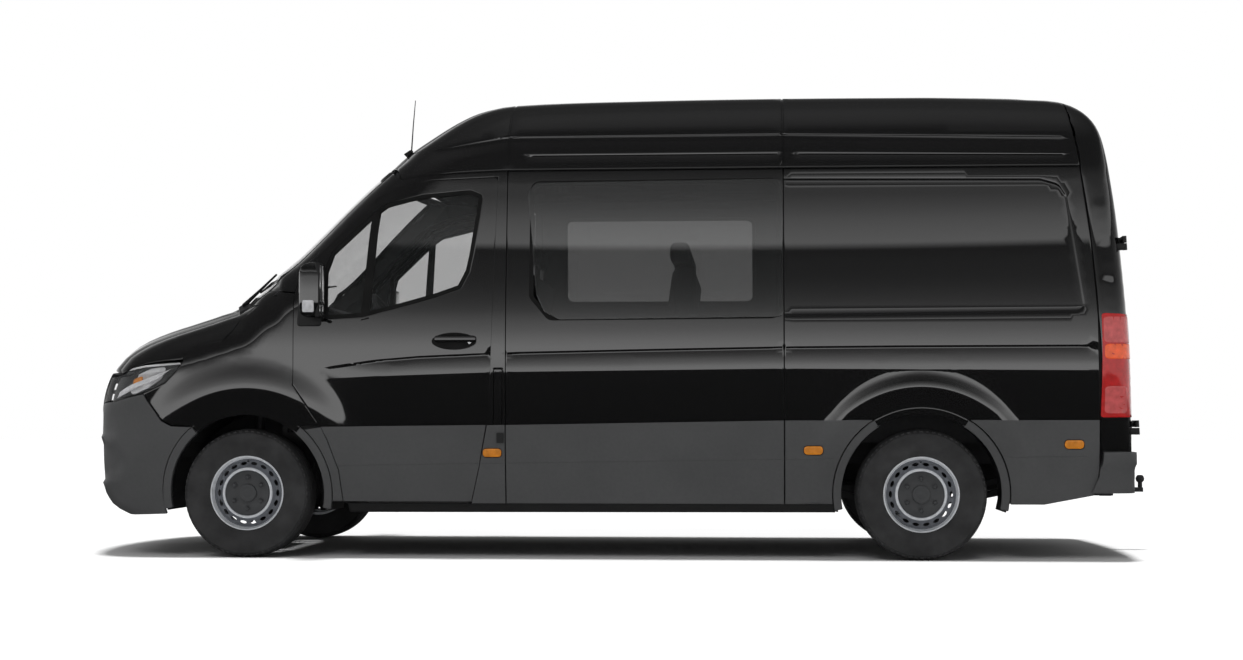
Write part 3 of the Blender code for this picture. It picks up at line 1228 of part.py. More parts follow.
def seat(name, x, centre_y, width, low, heads):
    """Seat with its box, back and head restraints in one soft solid."""
    back = x + CUSHION_REACH
    outline = [(x, low), (x, CUSHION_TOP), (back, CUSHION_TOP), (back + BACK_LEAN, BACK_TOP),
               (back + BACK_LEAN + BACK_DEPTH, BACK_TOP), (back + BACK_LEAN / 3 + BACK_DEPTH, low)]
    body = prism(name, outline, "XZ", centre_y - width / 2, centre_y + width / 2, CLOTH, VAN)
    length, across, high = HEAD_SIZE
    near = back + BACK_LEAN + (BACK_DEPTH - length) / 2
    for i, y in enumerate(heads):
        join(body, block(name + "_head_" + str(i), (near, y - across / 2, BACK_TOP - HEAD_LAP),
                         (near + length, y + across / 2, BACK_TOP + high)))


def seats():
    """Driver's seat, double passenger bench and the crew bench behind them."""
    seat("driver_seat", SEAT_X, -SEAT_Y, SEAT_WIDTH, CAB_FLOOR_TOP + FIT, (-SEAT_Y,))
    seat("passenger_bench", SEAT_X, BENCH_Y, BENCH_WIDTH, CAB_FLOOR_TOP + FIT, BENCH_HEAD_YS)
    seat("crew_bench", CREW_SEAT_X, 0.0, CREW_WIDTH, FLOOR_TOP + FIT, CREW_HEAD_YS)


def column_point(reach):
    """Point on the steering column's axis, from the wheel's middle towards the driver."""
    return Vector(STEER_HUB) + Vector((sin(STEER_LEAN), 0, cos(STEER_LEAN))) * reach


def dashboard():
    """Dashboard on the firewall, with the steering column's shroud."""
    start = FIREWALL_X + FIREWALL_DEPTH + FIT
    outline = [(start + x * DASH_REACH, DASH_LOW + z * DASH_RISE) for x, z in DASH_SHARES]
    dash = softened(prism("dashboard", outline, "XZ", -DASH_HALF, DASH_HALF, GREY_PLASTIC, VAN), DASH_ROUND)
    join(dash, rod("shroud", column_point(-STEER_SHROUD), column_point(-STEER_STUB - FIT),
                   STEER_SHROUD_RADIUS, 10))


def steering_wheel():
    """Ring, spokes and boss, in the wheel's own frame with its axis along Z."""
    bpy.ops.mesh.primitive_torus_add(major_radius=STEER_RING, minor_radius=STEER_GRIP,
                                     major_segments=18, minor_segments=6)
    wheel = bpy.context.active_object
    wheel.name = "steering_wheel"
    for group in list(wheel.users_collection):
        group.objects.unlink(wheel)
    VAN.objects.link(wheel)
    wheel.data.materials.append(GREY_PLASTIC)
    for i in range(3):
        angle = pi / 2 + 2 * pi * i / 3
        tip = (STEER_RING * cos(angle), STEER_RING * sin(angle), 0)
        join(wheel, rod("spoke_" + str(i), (0, 0, -STEER_SPOKE_DROP), tip, STEER_SPOKE, 8))
    join(wheel, rod("wheel_boss", (0, 0, -STEER_BOSS_DEPTH), (0, 0, 0), STEER_BOSS, 10))
    join(wheel, rod("column", (0, 0, -STEER_STUB), (0, 0, -STEER_SPOKE_DROP), STEER_SHROUD_RADIUS / 2, 8))
    wheel.location = STEER_HUB
    wheel.rotation_euler = (0, STEER_LEAN, 0)
    bpy.context.view_layer.update()
    for mod in wheel.modifiers:
        mod.object.matrix_world = wheel.matrix_world


def mirrors():
    """Door mirrors, each on an arm that is fitted to its door's skin."""
    for side, word in ((-1, "left"), (1, "right")):
        mirror = side_block("mirror_" + word, side, (MIRROR_INNER_Y, MIRROR_OUTER_Y),
                            (MIRROR_X - MIRROR_HALF_X, MIRROR_LOW), (MIRROR_X + MIRROR_HALF_X, MIRROR_HIGH),
                            GREY_PLASTIC, VAN)
        softened(mirror, MIRROR_ROUND)
        z = MIRROR_LOW + MIRROR_ARM_RISE
        join(mirror, rod("mirror_arm_" + word, (MIRROR_X, side * (HALF_WIDTH - DOOR_DEPTH), z),
                         (MIRROR_X, side * (MIRROR_INNER_Y + MIRROR_ROUND), z), MIRROR_ARM, 10))
        cut(mirror, skin("mirror_clear_" + word, *door_grid(), sideways(side), 2 * DOOR_DEPTH, None,
                         CUTTERS, -FIT))


def rear_bumper():
    bumper = skin("rear_bumper", spread(-REAR_BUMPER_TURN, REAR_BUMPER_TURN, 18),
                  [share * HEIGHT for share in REAR_BUMPER_SHARES] + [BUMPER_TOP],
                  in_plan(REAR_CENTRE_X, 1), REAR_BUMPER_DEPTH, GREY_PLASTIC, VAN, -REAR_BUMPER_PROUD)
    keep(bumper, block("rear_bumper_keep", (float(along(SEAM_TAIL)) + FIT, -ACROSS, REAR_BUMPER_LOW),
                       (TAIL_X, ACROSS, BUMPER_TOP)))


def tow_bar():
    """Beam between two plates on the rails, with the neck and the ball."""
    tail = REAR_AXLE_X + REAR_OVERHANG
    ball_x = tail + TOW_REACH - BALL_RADIUS
    beam_x = tail - TOW_FRONT
    bar = block("tow_bar", (beam_x, -TOW_BEAM_HALF, TOW_LOW),
                (beam_x + TOW_BEAM, TOW_BEAM_HALF, TOW_LOW + TOW_BEAM), STEEL, VAN)
    near = RAIL_Y + RAIL_HALF + FIT
    for side in (-1, 1):
        join(bar, side_block("tow_plate_" + str(side), side, (near, near + TOW_PLATE),
                             (tail - TOW_PLATE_FRONT, TOW_LOW),
                             (tail - TOW_PLATE_REAR, RAIL_LOW + RAIL_DEPTH / 2)))
    join(bar, block("tow_neck", (beam_x + TOW_NECK, -TOW_NECK, TOW_NECK_LOW),
                    (ball_x + BALL_POST, TOW_NECK, TOW_NECK_LOW + TOW_NECK)))
    turns = [BALL_FLAT + (-pi / 3 - BALL_FLAT) * i / BALL_STEPS for i in range(BALL_STEPS + 1)]
    profile = [(0.0, BALL_RADIUS * sin(BALL_FLAT))]
    profile += [(BALL_RADIUS * cos(a), BALL_RADIUS * sin(a)) for a in turns]
    foot = TOW_NECK_LOW + TOW_NECK / 2 - BALL_Z
    profile += [(BALL_POST, -BALL_RADIUS), (BALL_POST, foot), (0.0, foot)]
    ball = turned("tow_ball", profile, 12, None, CUTTERS)
    ball.location = (ball_x, 0, BALL_Z)
    join(bar, ball)


def fuel_flap(frame):
    """Narrow flap over the filler in the left door post, with its pocket and stop."""
    outline = side_points(FLAP)
    grid = grid_over(outline, 1, 2)
    flap = side_shell("fuel_flap", -1, outline, grid, FLAP_DEPTH, BLACK_PAINT)
    cut(frame, side_shell("fuel_pocket", -1, grow(outline, FLAP_GAP), grid, 2 * FLAP_POCKET,
                          None, -FLAP_POCKET, CUTTERS))
    (front_x, low_z), (rear_x, _), (_, high_z), _ = outline
    middle = (low_z + high_z) / 2
    stop = [(front_x + FLAP_STOP, middle - FLAP_STOP), (rear_x - FLAP_STOP, middle - FLAP_STOP),
            (rear_x - FLAP_STOP, middle + FLAP_STOP), (front_x + FLAP_STOP, middle + FLAP_STOP)]
    join(frame, side_shell("flap_stop", -1, stop, grid, FLAP_POCKET, None, FLAP_DEPTH + FIT, CUTTERS))
    pivot(flap, (rear_x - FLAP_HINGE_INSET, -FLAP_HINGE_Y, FLAP_HINGE_Z))


def main():
    clear_scene()
    sides()
    cab_doors()
    roof()
    windscreen()
    rear_end()
    bonnet()
    front_bumper()
    grille()
    lamps_and_wings()
    fuel_flap(cab_frame())
    wheels()
    load_floor()
    chassis()
    knuckles()
    rear_axle()
    engine()
    seats()
    dashboard()
    steering_wheel()
    mirrors()
    rear_bumper()
    tow_bar()


main()
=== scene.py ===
"""Looks of the high-roof crew van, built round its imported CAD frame.

Metres, the nose to -X and the vehicle's left side at -Y. The body's skin is one
form: half widths, heights and ends in tables, joined smoothly, with the relief of
the panels added to it. Each panel is filled in its own plane and thrown on to it.
"""

from math import asin, atan2, copysign, cos, degrees, hypot, pi, radians, sin, tan

import bmesh
import bpy
import numpy as np
from mathutils import Matrix, Vector
from mathutils.geometry import delaunay_2d_cdt


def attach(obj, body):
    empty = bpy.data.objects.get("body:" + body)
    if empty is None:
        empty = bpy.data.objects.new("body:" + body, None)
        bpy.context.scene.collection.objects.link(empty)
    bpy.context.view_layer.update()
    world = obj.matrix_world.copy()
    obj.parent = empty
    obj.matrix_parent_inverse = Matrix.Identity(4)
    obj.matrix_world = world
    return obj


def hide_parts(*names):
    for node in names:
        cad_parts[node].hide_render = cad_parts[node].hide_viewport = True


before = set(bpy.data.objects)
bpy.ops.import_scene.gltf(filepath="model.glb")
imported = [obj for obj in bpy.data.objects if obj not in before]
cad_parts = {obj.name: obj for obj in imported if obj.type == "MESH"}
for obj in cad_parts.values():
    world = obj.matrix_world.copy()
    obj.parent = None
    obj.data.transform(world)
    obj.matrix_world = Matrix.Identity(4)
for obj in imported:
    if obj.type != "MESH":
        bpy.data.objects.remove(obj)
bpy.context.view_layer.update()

# Driving dimensions and form of the body, as in the CAD source
WHEELBASE, FRONT_OVERHANG, REAR_OVERHANG = 3.665, 1.004, 1.263
HEIGHT, HALF_WIDTH = 2.605, 1.005
AXLE_X, AXLE_Z, WHEEL_Y = -2.0155, 0.351, 0.866
REAR_AXLE_X = AXLE_X + WHEELBASE
SIDE_HEIGHTS = (0.0, 0.104, 0.23, 0.364, 0.50, 0.613, 0.766, 0.812, 0.881, 0.93, 1.0, 1.2)
SIDE_SHARES = (0.925, 0.942, 0.982, 1.0, 0.996, 0.97, 0.925, 0.908, 0.862, 0.81, 0.72, 0.40)
TOP_PLACES = (-1.03, -1.0, -0.95, -0.90, -0.79, -0.61, -0.47, -0.32, -0.20, -0.13, 0.019, 0.068,
              0.106, 0.145, 0.183, 0.209, 0.240, 0.285, 0.307, 0.338, 0.363, 0.398, 0.581,
              0.79, 0.98, 1.57, 1.80, 2.0)
TOP_SHARES = (0.365, 0.395, 0.425, 0.441, 0.463, 0.491, 0.508, 0.527, 0.545, 0.570, 0.641, 0.706,
              0.760, 0.812, 0.858, 0.889, 0.919, 0.958, 0.973, 0.986, 0.991, 0.994, 1.0,
              1.002, 1.001, 0.992, 0.987, 0.985)
FRONT_HEIGHTS = (0.0, 0.08, 0.10, 0.127, 0.172, 0.23, 0.288, 0.364, 0.41, 0.47, 0.60, 1.0)
FRONT_SHARES = (0.70, 0.82, 0.92, 0.975, 0.992, 1.0, 0.997, 0.985, 0.965, 0.90, 0.60, 0.10)
REAR_HEIGHTS = (0.0, 0.24, 0.46, 0.61, 0.766, 0.88, 0.94, 1.0, 1.2)
REAR_SHARES = (0.924, 0.922, 0.912, 0.89, 0.857, 0.818, 0.78, 0.72, 0.50)
FRONT_SWEEP, REAR_SWEEP, SCREEN_SWEEP = 0.20, 0.05, 0.22
CROWN_PLACES, CROWN_DEPTHS = (-1.0, -0.1, 0.3, 2.0), (0.10, 0.10, 0.17, 0.17)
SHOULDER_ROUND, NOSE_ROUND, TAIL_ROUND = 0.19, 0.26, 0.12
FAR, HALVINGS = 3.0, 26
GAP = 0.0035

# Lines from which rays go out to the skin: lengthways, round the roof and round the rear corners
SCREEN_RAY_X, NOSE_RAY_X, REAR_RAY_X = -0.8, -2.0, 1.2
ROOF_AXIS_Z, TAIL_AXIS_X = 1.90, 1.85

# Seams and outlines seen from the side, as x and z
SEAM_FRONT_X, SEAM_MIDDLE_X, SEAM_TAIL_X = -0.588, 0.9202, 2.5336
SILL_Z, GUTTER_Z = 0.295, 2.118
MID_SEAMS = ((-2.9, 0.50), (-1.5, 0.502), (-0.72, 0.514), (0.90, 0.538), (2.6, 0.557))
CLAD_TOPS = ((-2.9, 0.712), (-1.60, 0.714), (-0.61, 0.725), (0.90, 0.75), (2.9, 0.753))
SWAGE = ((-1.56, 1.035), (-1.30, 1.072), (-1.054, 1.092), (-0.671, 1.108), (-0.507, 1.113),
         (0.199, 1.127), (0.924, 1.139), (1.537, 1.143), (2.54, 1.145))
LOWER_SWAGE = ((-1.56, 0.972), (-1.30, 0.986), (-0.61, 1.008), (0.90, 1.024), (2.54, 1.012))
CAB_DOOR = ((-1.755, 1.446), (-1.730, 1.558), (-1.572, 1.717), (-1.315, 1.972), (-1.184, 2.032),
            (-1.015, 2.068), (-0.641, 2.084), (-0.671, 1.021), (-0.685, 0.750), (-0.733, 0.495),
            (-0.777, 0.307), (-1.480, 0.307), (-1.502, 0.479), (-1.561, 0.641), (-1.645, 0.779),
            (-1.752, 0.943))


def place_share(x):
    """Share of the body's length at which a place lies."""
    front = (x - AXLE_X) / FRONT_OVERHANG
    middle = (x - AXLE_X) / WHEELBASE
    rear = 1 + (x - REAR_AXLE_X) / REAR_OVERHANG
    return np.where(x < AXLE_X, front, np.where(x < REAR_AXLE_X, middle, rear))


def smooth_value(t, knots, values):
    """Smooth curve through the knots, with each slope taken from its neighbours."""
    knots, values = np.asarray(knots, dtype=float), np.asarray(values, dtype=float)
    slopes = np.gradient(values, knots)
    i = np.clip(np.searchsorted(knots, t) - 1, 0, len(knots) - 2)
    span = knots[i + 1] - knots[i]
    q = np.clip((t - knots[i]) / span, 0, 1)
    start = values[i] * (1 + 2 * q) * (1 - q) ** 2 + slopes[i] * span * q * (1 - q) ** 2
    end = values[i + 1] * q * q * (3 - 2 * q) + slopes[i + 1] * span * q * q * (q - 1)
    return start + end


def smooth_max(a, b, width):
    """Larger of two values, rounded over where they are close."""
    h = np.clip(width - np.abs(a - b), 0, None) / width
    return np.maximum(a, b) + h * h * width / 4


def form(x, y, z):
    """Below zero inside the body, above zero outside it."""
    side = np.abs(y) - HALF_WIDTH * smooth_value(z / HEIGHT, SIDE_HEIGHTS, SIDE_SHARES)
    share = place_share(x - SCREEN_SWEEP * y * y)
    crown = np.interp(share, CROWN_PLACES, CROWN_DEPTHS)
    top = z - HEIGHT * smooth_value(share, TOP_PLACES, TOP_SHARES) + crown * y * y
    nose = AXLE_X - FRONT_OVERHANG * smooth_value(z / HEIGHT, FRONT_HEIGHTS, FRONT_SHARES)
    tail = REAR_AXLE_X + REAR_OVERHANG * smooth_value(z / HEIGHT, REAR_HEIGHTS, REAR_SHARES)
    body = smooth_max(side, nose + FRONT_SWEEP * y * y - x, NOSE_ROUND)
    body = smooth_max(body, x - tail + REAR_SWEEP * y * y, TAIL_ROUND)
    return smooth_max(body, top, SHOULDER_ROUND)


def reach_skin(origins, directions):
    """Distances along rays from inside to the body's skin."""
    low, high = np.zeros(len(origins)), np.full(len(origins), FAR)
    for _ in range(HALVINGS):
        middle = (low + high) / 2
        points = origins + directions * middle[:, None]
        outside = form(points[:, 0], points[:, 1], points[:, 2]) > 0
        high, low = np.where(outside, middle, high), np.where(outside, low, middle)
    return low


def line_z(line, x):
    """Height of a line at some places along the body."""
    return np.interp(x, [p[0] for p in line], [p[1] for p in line])


def ease(t):
    """Soft step from 0 to 1."""
    t = np.clip(t, 0, 1)
    return t * t * (3 - 2 * t)


def sideways(side):
    """Rays out to one side, for a plane along the body and upwards."""
    def ray(a, b):
        zero = np.zeros_like(a)
        return np.stack([a, zero, b], 1), np.stack([zero, zero + side, zero], 1)
    return ray


def around(centre_z):
    """Rays across the body about a line along it: the plane runs along and around."""
    def ray(a, b):
        zero = np.zeros_like(a)
        return np.stack([a, zero, zero + centre_z], 1), np.stack([zero, np.sin(b), np.cos(b)], 1)
    return ray


def in_plan(centre_x, facing):
    """Level rays about an upright line: the plane runs around and upwards."""
    def ray(a, b):
        zero = np.zeros_like(a)
        directions = np.stack([facing * np.cos(a), np.sin(a), zero], 1)
        return np.stack([zero + centre_x, zero, b], 1), directions
    return ray


def lengthways(start_x, facing):
    """Rays along the body, for a plane across and upwards."""
    def ray(a, b):
        zero = np.zeros_like(a)
        return np.stack([zero + start_x, a, b], 1), np.stack([zero + facing, zero, zero], 1)
    return ray


def throw(ray, points, raised=0.0, relief=None):
    """Points of a plane thrown on to the skin, moved out by a height and the relief."""
    points = np.array(points, dtype=float)
    origins, directions = ray(points[:, 0], points[:, 1])
    reach = reach_skin(origins, directions)
    if relief:
        reach = reach + relief(origins + directions * reach[:, None])
    return origins + directions * (reach + raised)[:, None]


def hits(ray, points):
    """Points of a plane thrown on to the plain skin, as tuples."""
    return [tuple(p) for p in throw(ray, points)]


def grow(points, distance):
    """Outline with each edge moved out by a distance."""
    count = len(points)
    area = sum(points[i - 1][0] * points[i][1] - points[i][0] * points[i - 1][1]
               for i in range(count))
    turn = 1 if area > 0 else -1
    grown = []
    for i in range(count):
        before = Vector(points[i]) - Vector(points[i - 1])
        after = Vector(points[(i + 1) % count]) - Vector(points[i])
        n0 = Vector((before.y, -before.x)).normalized() * turn
        n1 = Vector((after.y, -after.x)).normalized() * turn
        middle = (n0 + n1).normalized()
        grown.append(tuple(Vector(points[i]) + middle * (distance / max(middle.dot(n0), 0.4))))
    return grown


def rounded(points, radius, steps=6):
    """Outline with each corner turned into an arc."""
    result = []
    count = len(points)
    for i in range(count):
        corner = Vector(points[i])
        to_last = Vector(points[i - 1]) - corner
        to_next = Vector(points[(i + 1) % count]) - corner
        angle = max(to_last.angle(to_next), 0.05)
        reach = min(radius / tan(angle / 2), to_last.length / 2.1, to_next.length / 2.1)
        start, end = corner + to_last.normalized() * reach, corner + to_next.normalized() * reach
        if reach < 0.0005:
            result.append(tuple(corner))
            continue
        for step in range(steps + 1):
            t = step / steps
            result.append(tuple(start * (1 - t) ** 2 + corner * 2 * t * (1 - t) + end * t * t))
    return result


def arc(centre, radius, start, end, count=24):
    """Points along an arc, its angles in degrees from the plane's first axis."""
    return [(centre[0] + radius * cos(radians(start + (end - start) * i / count)),
             centre[1] + radius * sin(radians(start + (end - start) * i / count)))
            for i in range(count + 1)]


def divided(line, step, closed=True):
    """Line with its long edges divided."""
    ends = line[1:] + line[:1] if closed else line[1:]
    result = []
    for start, end in zip(line, ends):
        count = max(1, round(hypot(end[0] - start[0], end[1] - start[1]) / step))
        result += [(start[0] + (end[0] - start[0]) * i / count,
                    start[1] + (end[1] - start[1]) * i / count) for i in range(count)]
    return result if closed else result + [line[-1]]


def within(points, loops):
    """Whether each point lies inside an odd number of the loops."""
    odd = np.zeros(len(points), dtype=bool)
    x, z = points[:, 0], points[:, 1]
    for loop in loops:
        for (x0, z0), (x1, z1) in zip(loop, loop[1:] + loop[:1]):
            if z0 != z1:
                crosses = (z0 > z) != (z1 > z)
                odd ^= crosses & (x < x0 + (z - z0) * (x1 - x0) / (z1 - z0))
    return odd


def distance_to(points, line, closed=True):
    """Least distance from each point to a line."""
    least = np.full(len(points), FAR)
    for start, end in zip(line, line[1:] + line[:1] if closed else line[1:]):
        a, d = np.array(start), np.array(end) - np.array(start)
        t = np.clip(((points - a) @ d) / max(d @ d, 1e-12), 0, 1)
        least = np.minimum(least, np.linalg.norm(points - a - t[:, None] * d, axis=1))
    return least


def fill(outline, holes, step, lines):
    """Plane triangles inside an outline and outside its holes, with edges along some lines."""
    loops = [divided(list(loop), step) for loop in (outline, *holes)]
    points, edges = [], []
    for loop in loops:
        edges += [(len(points) + i, len(points) + (i + 1) % len(loop)) for i in range(len(loop))]
        points += loop
    rows = [divided(list(line), step, False) for line in lines]
    for row in rows:
        edges += [(len(points) + i, len(points) + i + 1) for i in range(len(row) - 1)]
        points += row
    outer = np.array(loops[0])
    low, high = outer.min(0), outer.max(0)
    xs, zs = np.meshgrid(np.arange(low[0], high[0], step), np.arange(low[1], high[1], step))
    xs[1::2] += step / 2
    grid = np.stack([xs.ravel(), zs.ravel()], 1)
    grid = grid[within(grid, loops)]
    for loop in loops:
        grid = grid[distance_to(grid, loop) > step * 0.5]
    for row in rows:
        grid = grid[distance_to(grid, row, False) > step * 0.5]
    spots = [Vector(p) for p in points] + [Vector(p) for p in grid]
    verts, _, faces, *_ = delaunay_2d_cdt(spots, edges, [], 1, 1e-6)
    verts = np.array([tuple(v) for v in verts])
    middles = np.array([verts[list(face)].mean(0) for face in faces])
    keep = within(middles, loops)
    return verts, [face for face, kept in zip(faces, keep) if kept]


def finish(name, mesh, body, material, replaces=(), sharp=38):
    """Plain finished piece: smooth between its sharp edges, riding on a body."""
    mesh.shade_smooth()
    mesh.set_sharp_from_angle(angle=radians(sharp))
    mesh.materials.clear()
    mesh.materials.append(material)
    thing = bpy.data.objects.new(name, mesh)
    bpy.context.scene.collection.objects.link(thing)
    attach(thing, body)
    if replaces:
        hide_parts(*replaces)
    return thing


def settled(mesh, *modifiers):
    """Mesh with some modifiers applied, each a kind and its settings."""
    thing = bpy.data.objects.new("work", mesh)
    bpy.context.scene.collection.objects.link(thing)
    for kind, settings in modifiers:
        modifier = thing.modifiers.new(kind.lower(), kind)
        for key, value in settings.items():
            setattr(modifier, key, value)
    bpy.context.view_layer.update()
    seen = thing.evaluated_get(bpy.context.evaluated_depsgraph_get())
    result = bpy.data.meshes.new_from_object(seen)
    bpy.data.objects.remove(thing)
    return result


def mesh_of(verts, faces, facing=None):
    """Mesh of some vertices and faces, turned to face along the given directions."""
    mesh = bpy.data.meshes.new("work")
    mesh.from_pydata([tuple(v) for v in verts], [], [list(f) for f in faces])
    if facing is not None:
        outward = sum(p.normal.dot(Vector(facing[p.vertices[0]])) for p in mesh.polygons)
        if outward < 0:
            mesh.flip_normals()
    return mesh


def sheet(depth, rim, segments=2):
    """Modifiers that give a surface its depth and round its rim."""
    return (("SOLIDIFY", {"thickness": depth, "offset": -1}),
            ("BEVEL", {"width": rim, "segments": segments, "limit_method": "ANGLE",
                       "angle_limit": radians(50)}))


GUARD_SHARE, GUARD_LEAST = 2.2, 0.0015


def panel(name, ray, outline, body, material, depth=0.012, holes=(), step=0.03, lines=(),
          raised=0.0, relief=None, rim=0.002, replaces=()):
    """Sheet that follows the skin inside an outline drawn in a plane of rays.

    A guard loop inside each edge keeps the rounding of the rim even.
    """
    guard = GUARD_SHARE * rim + GUARD_LEAST
    loops = [grow(outline, -guard)] + [grow(hole, guard) for hole in holes]
    spots, faces = fill(outline, holes, step, list(lines) + [loop + loop[:1] for loop in loops])
    _, directions = ray(spots[:, 0], spots[:, 1])
    mesh = mesh_of(throw(ray, spots, raised, relief), faces, directions)
    return finish(name, settled(mesh, *sheet(depth, rim)), body, material, replaces)


class Sum:
    """Number or field from a node's socket, which can be used in sums."""

    def __init__(self, socket):
        self.socket = socket

    def math(self, operation, other=0.0, flipped=False):
        tree = self.socket.id_data
        node = tree.nodes.new("ShaderNodeMath")
        node.operation = operation
        for slot, value in zip(node.inputs, (other, self) if flipped else (self, other)):
            if isinstance(value, Sum):
                tree.links.new(value.socket, slot)
            else:
                slot.default_value = value
        return Sum(node.outputs[0])

    def __add__(self, other):
        return self.math("ADD", other)

    def __sub__(self, other):
        return self.math("SUBTRACT", other)

    def __rsub__(self, other):
        return self.math("SUBTRACT", other, True)

    def __mul__(self, other):
        return self.math("MULTIPLY", other)

    def __truediv__(self, other):
        return self.math("DIVIDE", other)

    __radd__, __rmul__ = __add__, __mul__


def make(tree, kind, settings=(), out=0, **values):
    """Node of a kind, its settings made first and then its sockets' values or links."""
    node = tree.nodes.new(kind if "Node" in kind else "ShaderNode" + kind)
    for key, value in dict(settings).items():
        if key == "stops":
            ramp = node.color_ramp
            while len(ramp.elements) < len(value):
                ramp.elements.new(1.0)
            for element, (place, shade) in zip(ramp.elements, value):
                element.position, element.color = place, shade
        else:
            setattr(node, key, value)
    for key, value in values.items():
        socket = node.inputs[int(key[1:])] if key[1:].isdigit() else node.inputs[key.replace("_", " ")]
        if isinstance(value, Sum):
            tree.links.new(value.socket, socket)
        else:
            socket.default_value = value
    return Sum(node.outputs[out])


class Finish:
    """Material with its procedural grain, wear and bump."""

    def __init__(self, name, colour, roughness, **fixed):
        self.material = bpy.data.materials.new(name)
        self.material.use_nodes = True
        self.tree = self.material.node_tree
        self.shader = self.tree.nodes["Principled BSDF"]
        self.colour, self.roughness = (*colour, 1.0), roughness
        self.shader.inputs["Base Color"].default_value = self.colour
        self.shader.inputs["Roughness"].default_value = roughness
        for key, value in fixed.items():
            self.shader.inputs[key.replace("_", " ")].default_value = value
        self.place = make(self.tree, "TexCoord", out=3)

    def noise(self, scale, detail=3.0):
        return make(self.tree, "TexNoise", v0=self.place, v2=scale, v3=detail, v4=0.55)

    def drive(self, name, value):
        self.tree.links.new(value.socket, self.shader.inputs[name])

    def ramp(self, value, *stops):
        return make(self.tree, "ValToRGB", {"stops": stops}, v0=value)

    def vary(self, amount, value):
        """Base colour lighter and darker by an amount, from a value between 0 and 1."""
        low = tuple(c * (1 - amount) for c in self.colour[:3]) + (1.0,)
        high = tuple(min(1.0, c * (1 + amount)) for c in self.colour[:3]) + (1.0,)
        self.drive("Base Color", self.ramp(value, (0.3, low), (0.7, high)))

    def wear(self, amount, value):
        self.drive("Roughness", value * (2 * amount) + (self.roughness - amount))

    def bump(self, height, depth, strength=1.0):
        normal = make(self.tree, "Bump", v0=strength, v1=depth, v3=height)
        self.drive("Normal", normal)


def paint():
    """Black paint under a clear coat, with its fine flake."""
    made = Finish("black_body_paint", (0.0028, 0.0028, 0.003), 0.20, Coat_Weight=1.0, Coat_IOR=2.15,
                  Coat_Roughness=0.02, Specular_IOR_Level=0.08)
    made.vary(0.25, made.noise(420.0, 2.0))
    made.wear(0.05, made.noise(3.0))
    made.bump(made.noise(160.0, 1.0), 0.00002, 0.12)
    return made.material


def moulding(name, colour, roughness, grain=900.0, depth=0.0004):
    """Grained plastic, a little chalky in places."""
    made = Finish(name, colour, roughness, Specular_IOR_Level=0.7)
    made.vary(0.14, made.noise(2.6, 4.0) * 0.6 + made.noise(60.0) * 0.4)
    made.wear(0.07, made.noise(5.0, 5.0))
    made.bump(made.noise(grain, 2.0), depth, 0.5)
    return made.material


def rubber(name="tyre_rubber", colour=(0.030, 0.030, 0.031), roughness=0.66):
    """Rubber of the tyres and the seals."""
    made = Finish(name, colour, roughness, Specular_IOR_Level=0.4)
    made.vary(0.3, made.noise(9.0, 5.0))
    made.wear(0.1, made.noise(14.0, 4.0))
    made.bump(made.noise(700.0, 2.0), 0.0004, 0.5)
    return made.material


def metal(name, colour, roughness, metallic=1.0, scale=40.0):
    """Painted, plated or bare metal with a fine grain."""
    made = Finish(name, colour, roughness, Metallic=metallic)
    made.vary(0.12, made.noise(scale, 5.0))
    made.wear(0.08, made.noise(scale / 3, 4.0))
    made.bump(made.noise(scale * 12, 2.0), 0.0002, 0.35)
    return made.material


def glass(name, colour, alpha, index):
    """Tinted pane that mirrors the sky and lets some of the inside show."""
    made = Finish(name, colour, 0.02, Alpha=alpha, Coat_Weight=1.0, Coat_IOR=index,
                  Coat_Roughness=0.01)
    made.vary(0.08, made.noise(1.5))
    made.wear(0.012, made.noise(4.0))
    return made.material


def lens(name, colour, alpha, roughness=0.06):
    """Lamp's lens, with its upright ribs."""
    made = Finish(name, colour, roughness, Alpha=alpha, Coat_Weight=1.0)
    ribs = make(made.tree, "TexWave", {"bands_direction": "Z"}, v0=made.place, v1=60.0)
    made.vary(0.2, made.noise(30.0))
    made.wear(0.03, made.noise(12.0))
    made.bump(ribs, 0.0006, 0.4)
    return made.material


def cloth(name, colour):
    """Woven seat cloth."""
    made = Finish(name, colour, 0.9, Sheen_Weight=0.25)
    weave = make(made.tree, "TexWave", {"bands_direction": "Z"}, v0=made.place, v1=260.0, v2=1.5)
    cross = make(made.tree, "TexWave", {"bands_direction": "Y"}, v0=made.place, v1=260.0, v2=1.5)
    made.vary(0.3, weave * cross * 0.6 + made.noise(6.0, 4.0) * 0.6)
    made.wear(0.05, made.noise(20.0))
    made.bump(weave * cross, 0.0006, 0.6)
    return made.material


PAINT = paint()
PLASTIC = moulding("grey_moulding", (0.062, 0.063, 0.065), 0.46)
TRIM = moulding("black_trim", (0.009, 0.009, 0.0095), 0.45)
SEAL = rubber("rubber_seal", (0.006, 0.006, 0.006), 0.6)
TYRE_RUBBER = rubber()
STEEL = metal("dark_steel", (0.045, 0.045, 0.048), 0.55, 0.5)
SILVER = metal("rim_silver", (0.66, 0.68, 0.71), 0.36, 0.25)
DISC_GREY = metal("disc_grey", (0.17, 0.18, 0.20), 0.42, 0.35)
BRIGHT = metal("bright_metal", (0.80, 0.80, 0.82), 0.16, 0.35)
CAB_GLASS = glass("cab_glass", (0.02, 0.022, 0.022), 0.24, 1.8)
DARK_GLASS = glass("dark_glass", (0.012, 0.013, 0.013), 0.53, 2.5)
CLEAR = lens("clear_lens", (0.20, 0.205, 0.21), 0.10)
RED = lens("red_lens", (0.42, 0.012, 0.012), 1.0, 0.10)
PALE_RED = lens("pale_red_lens", (0.50, 0.085, 0.085), 1.0, 0.12)
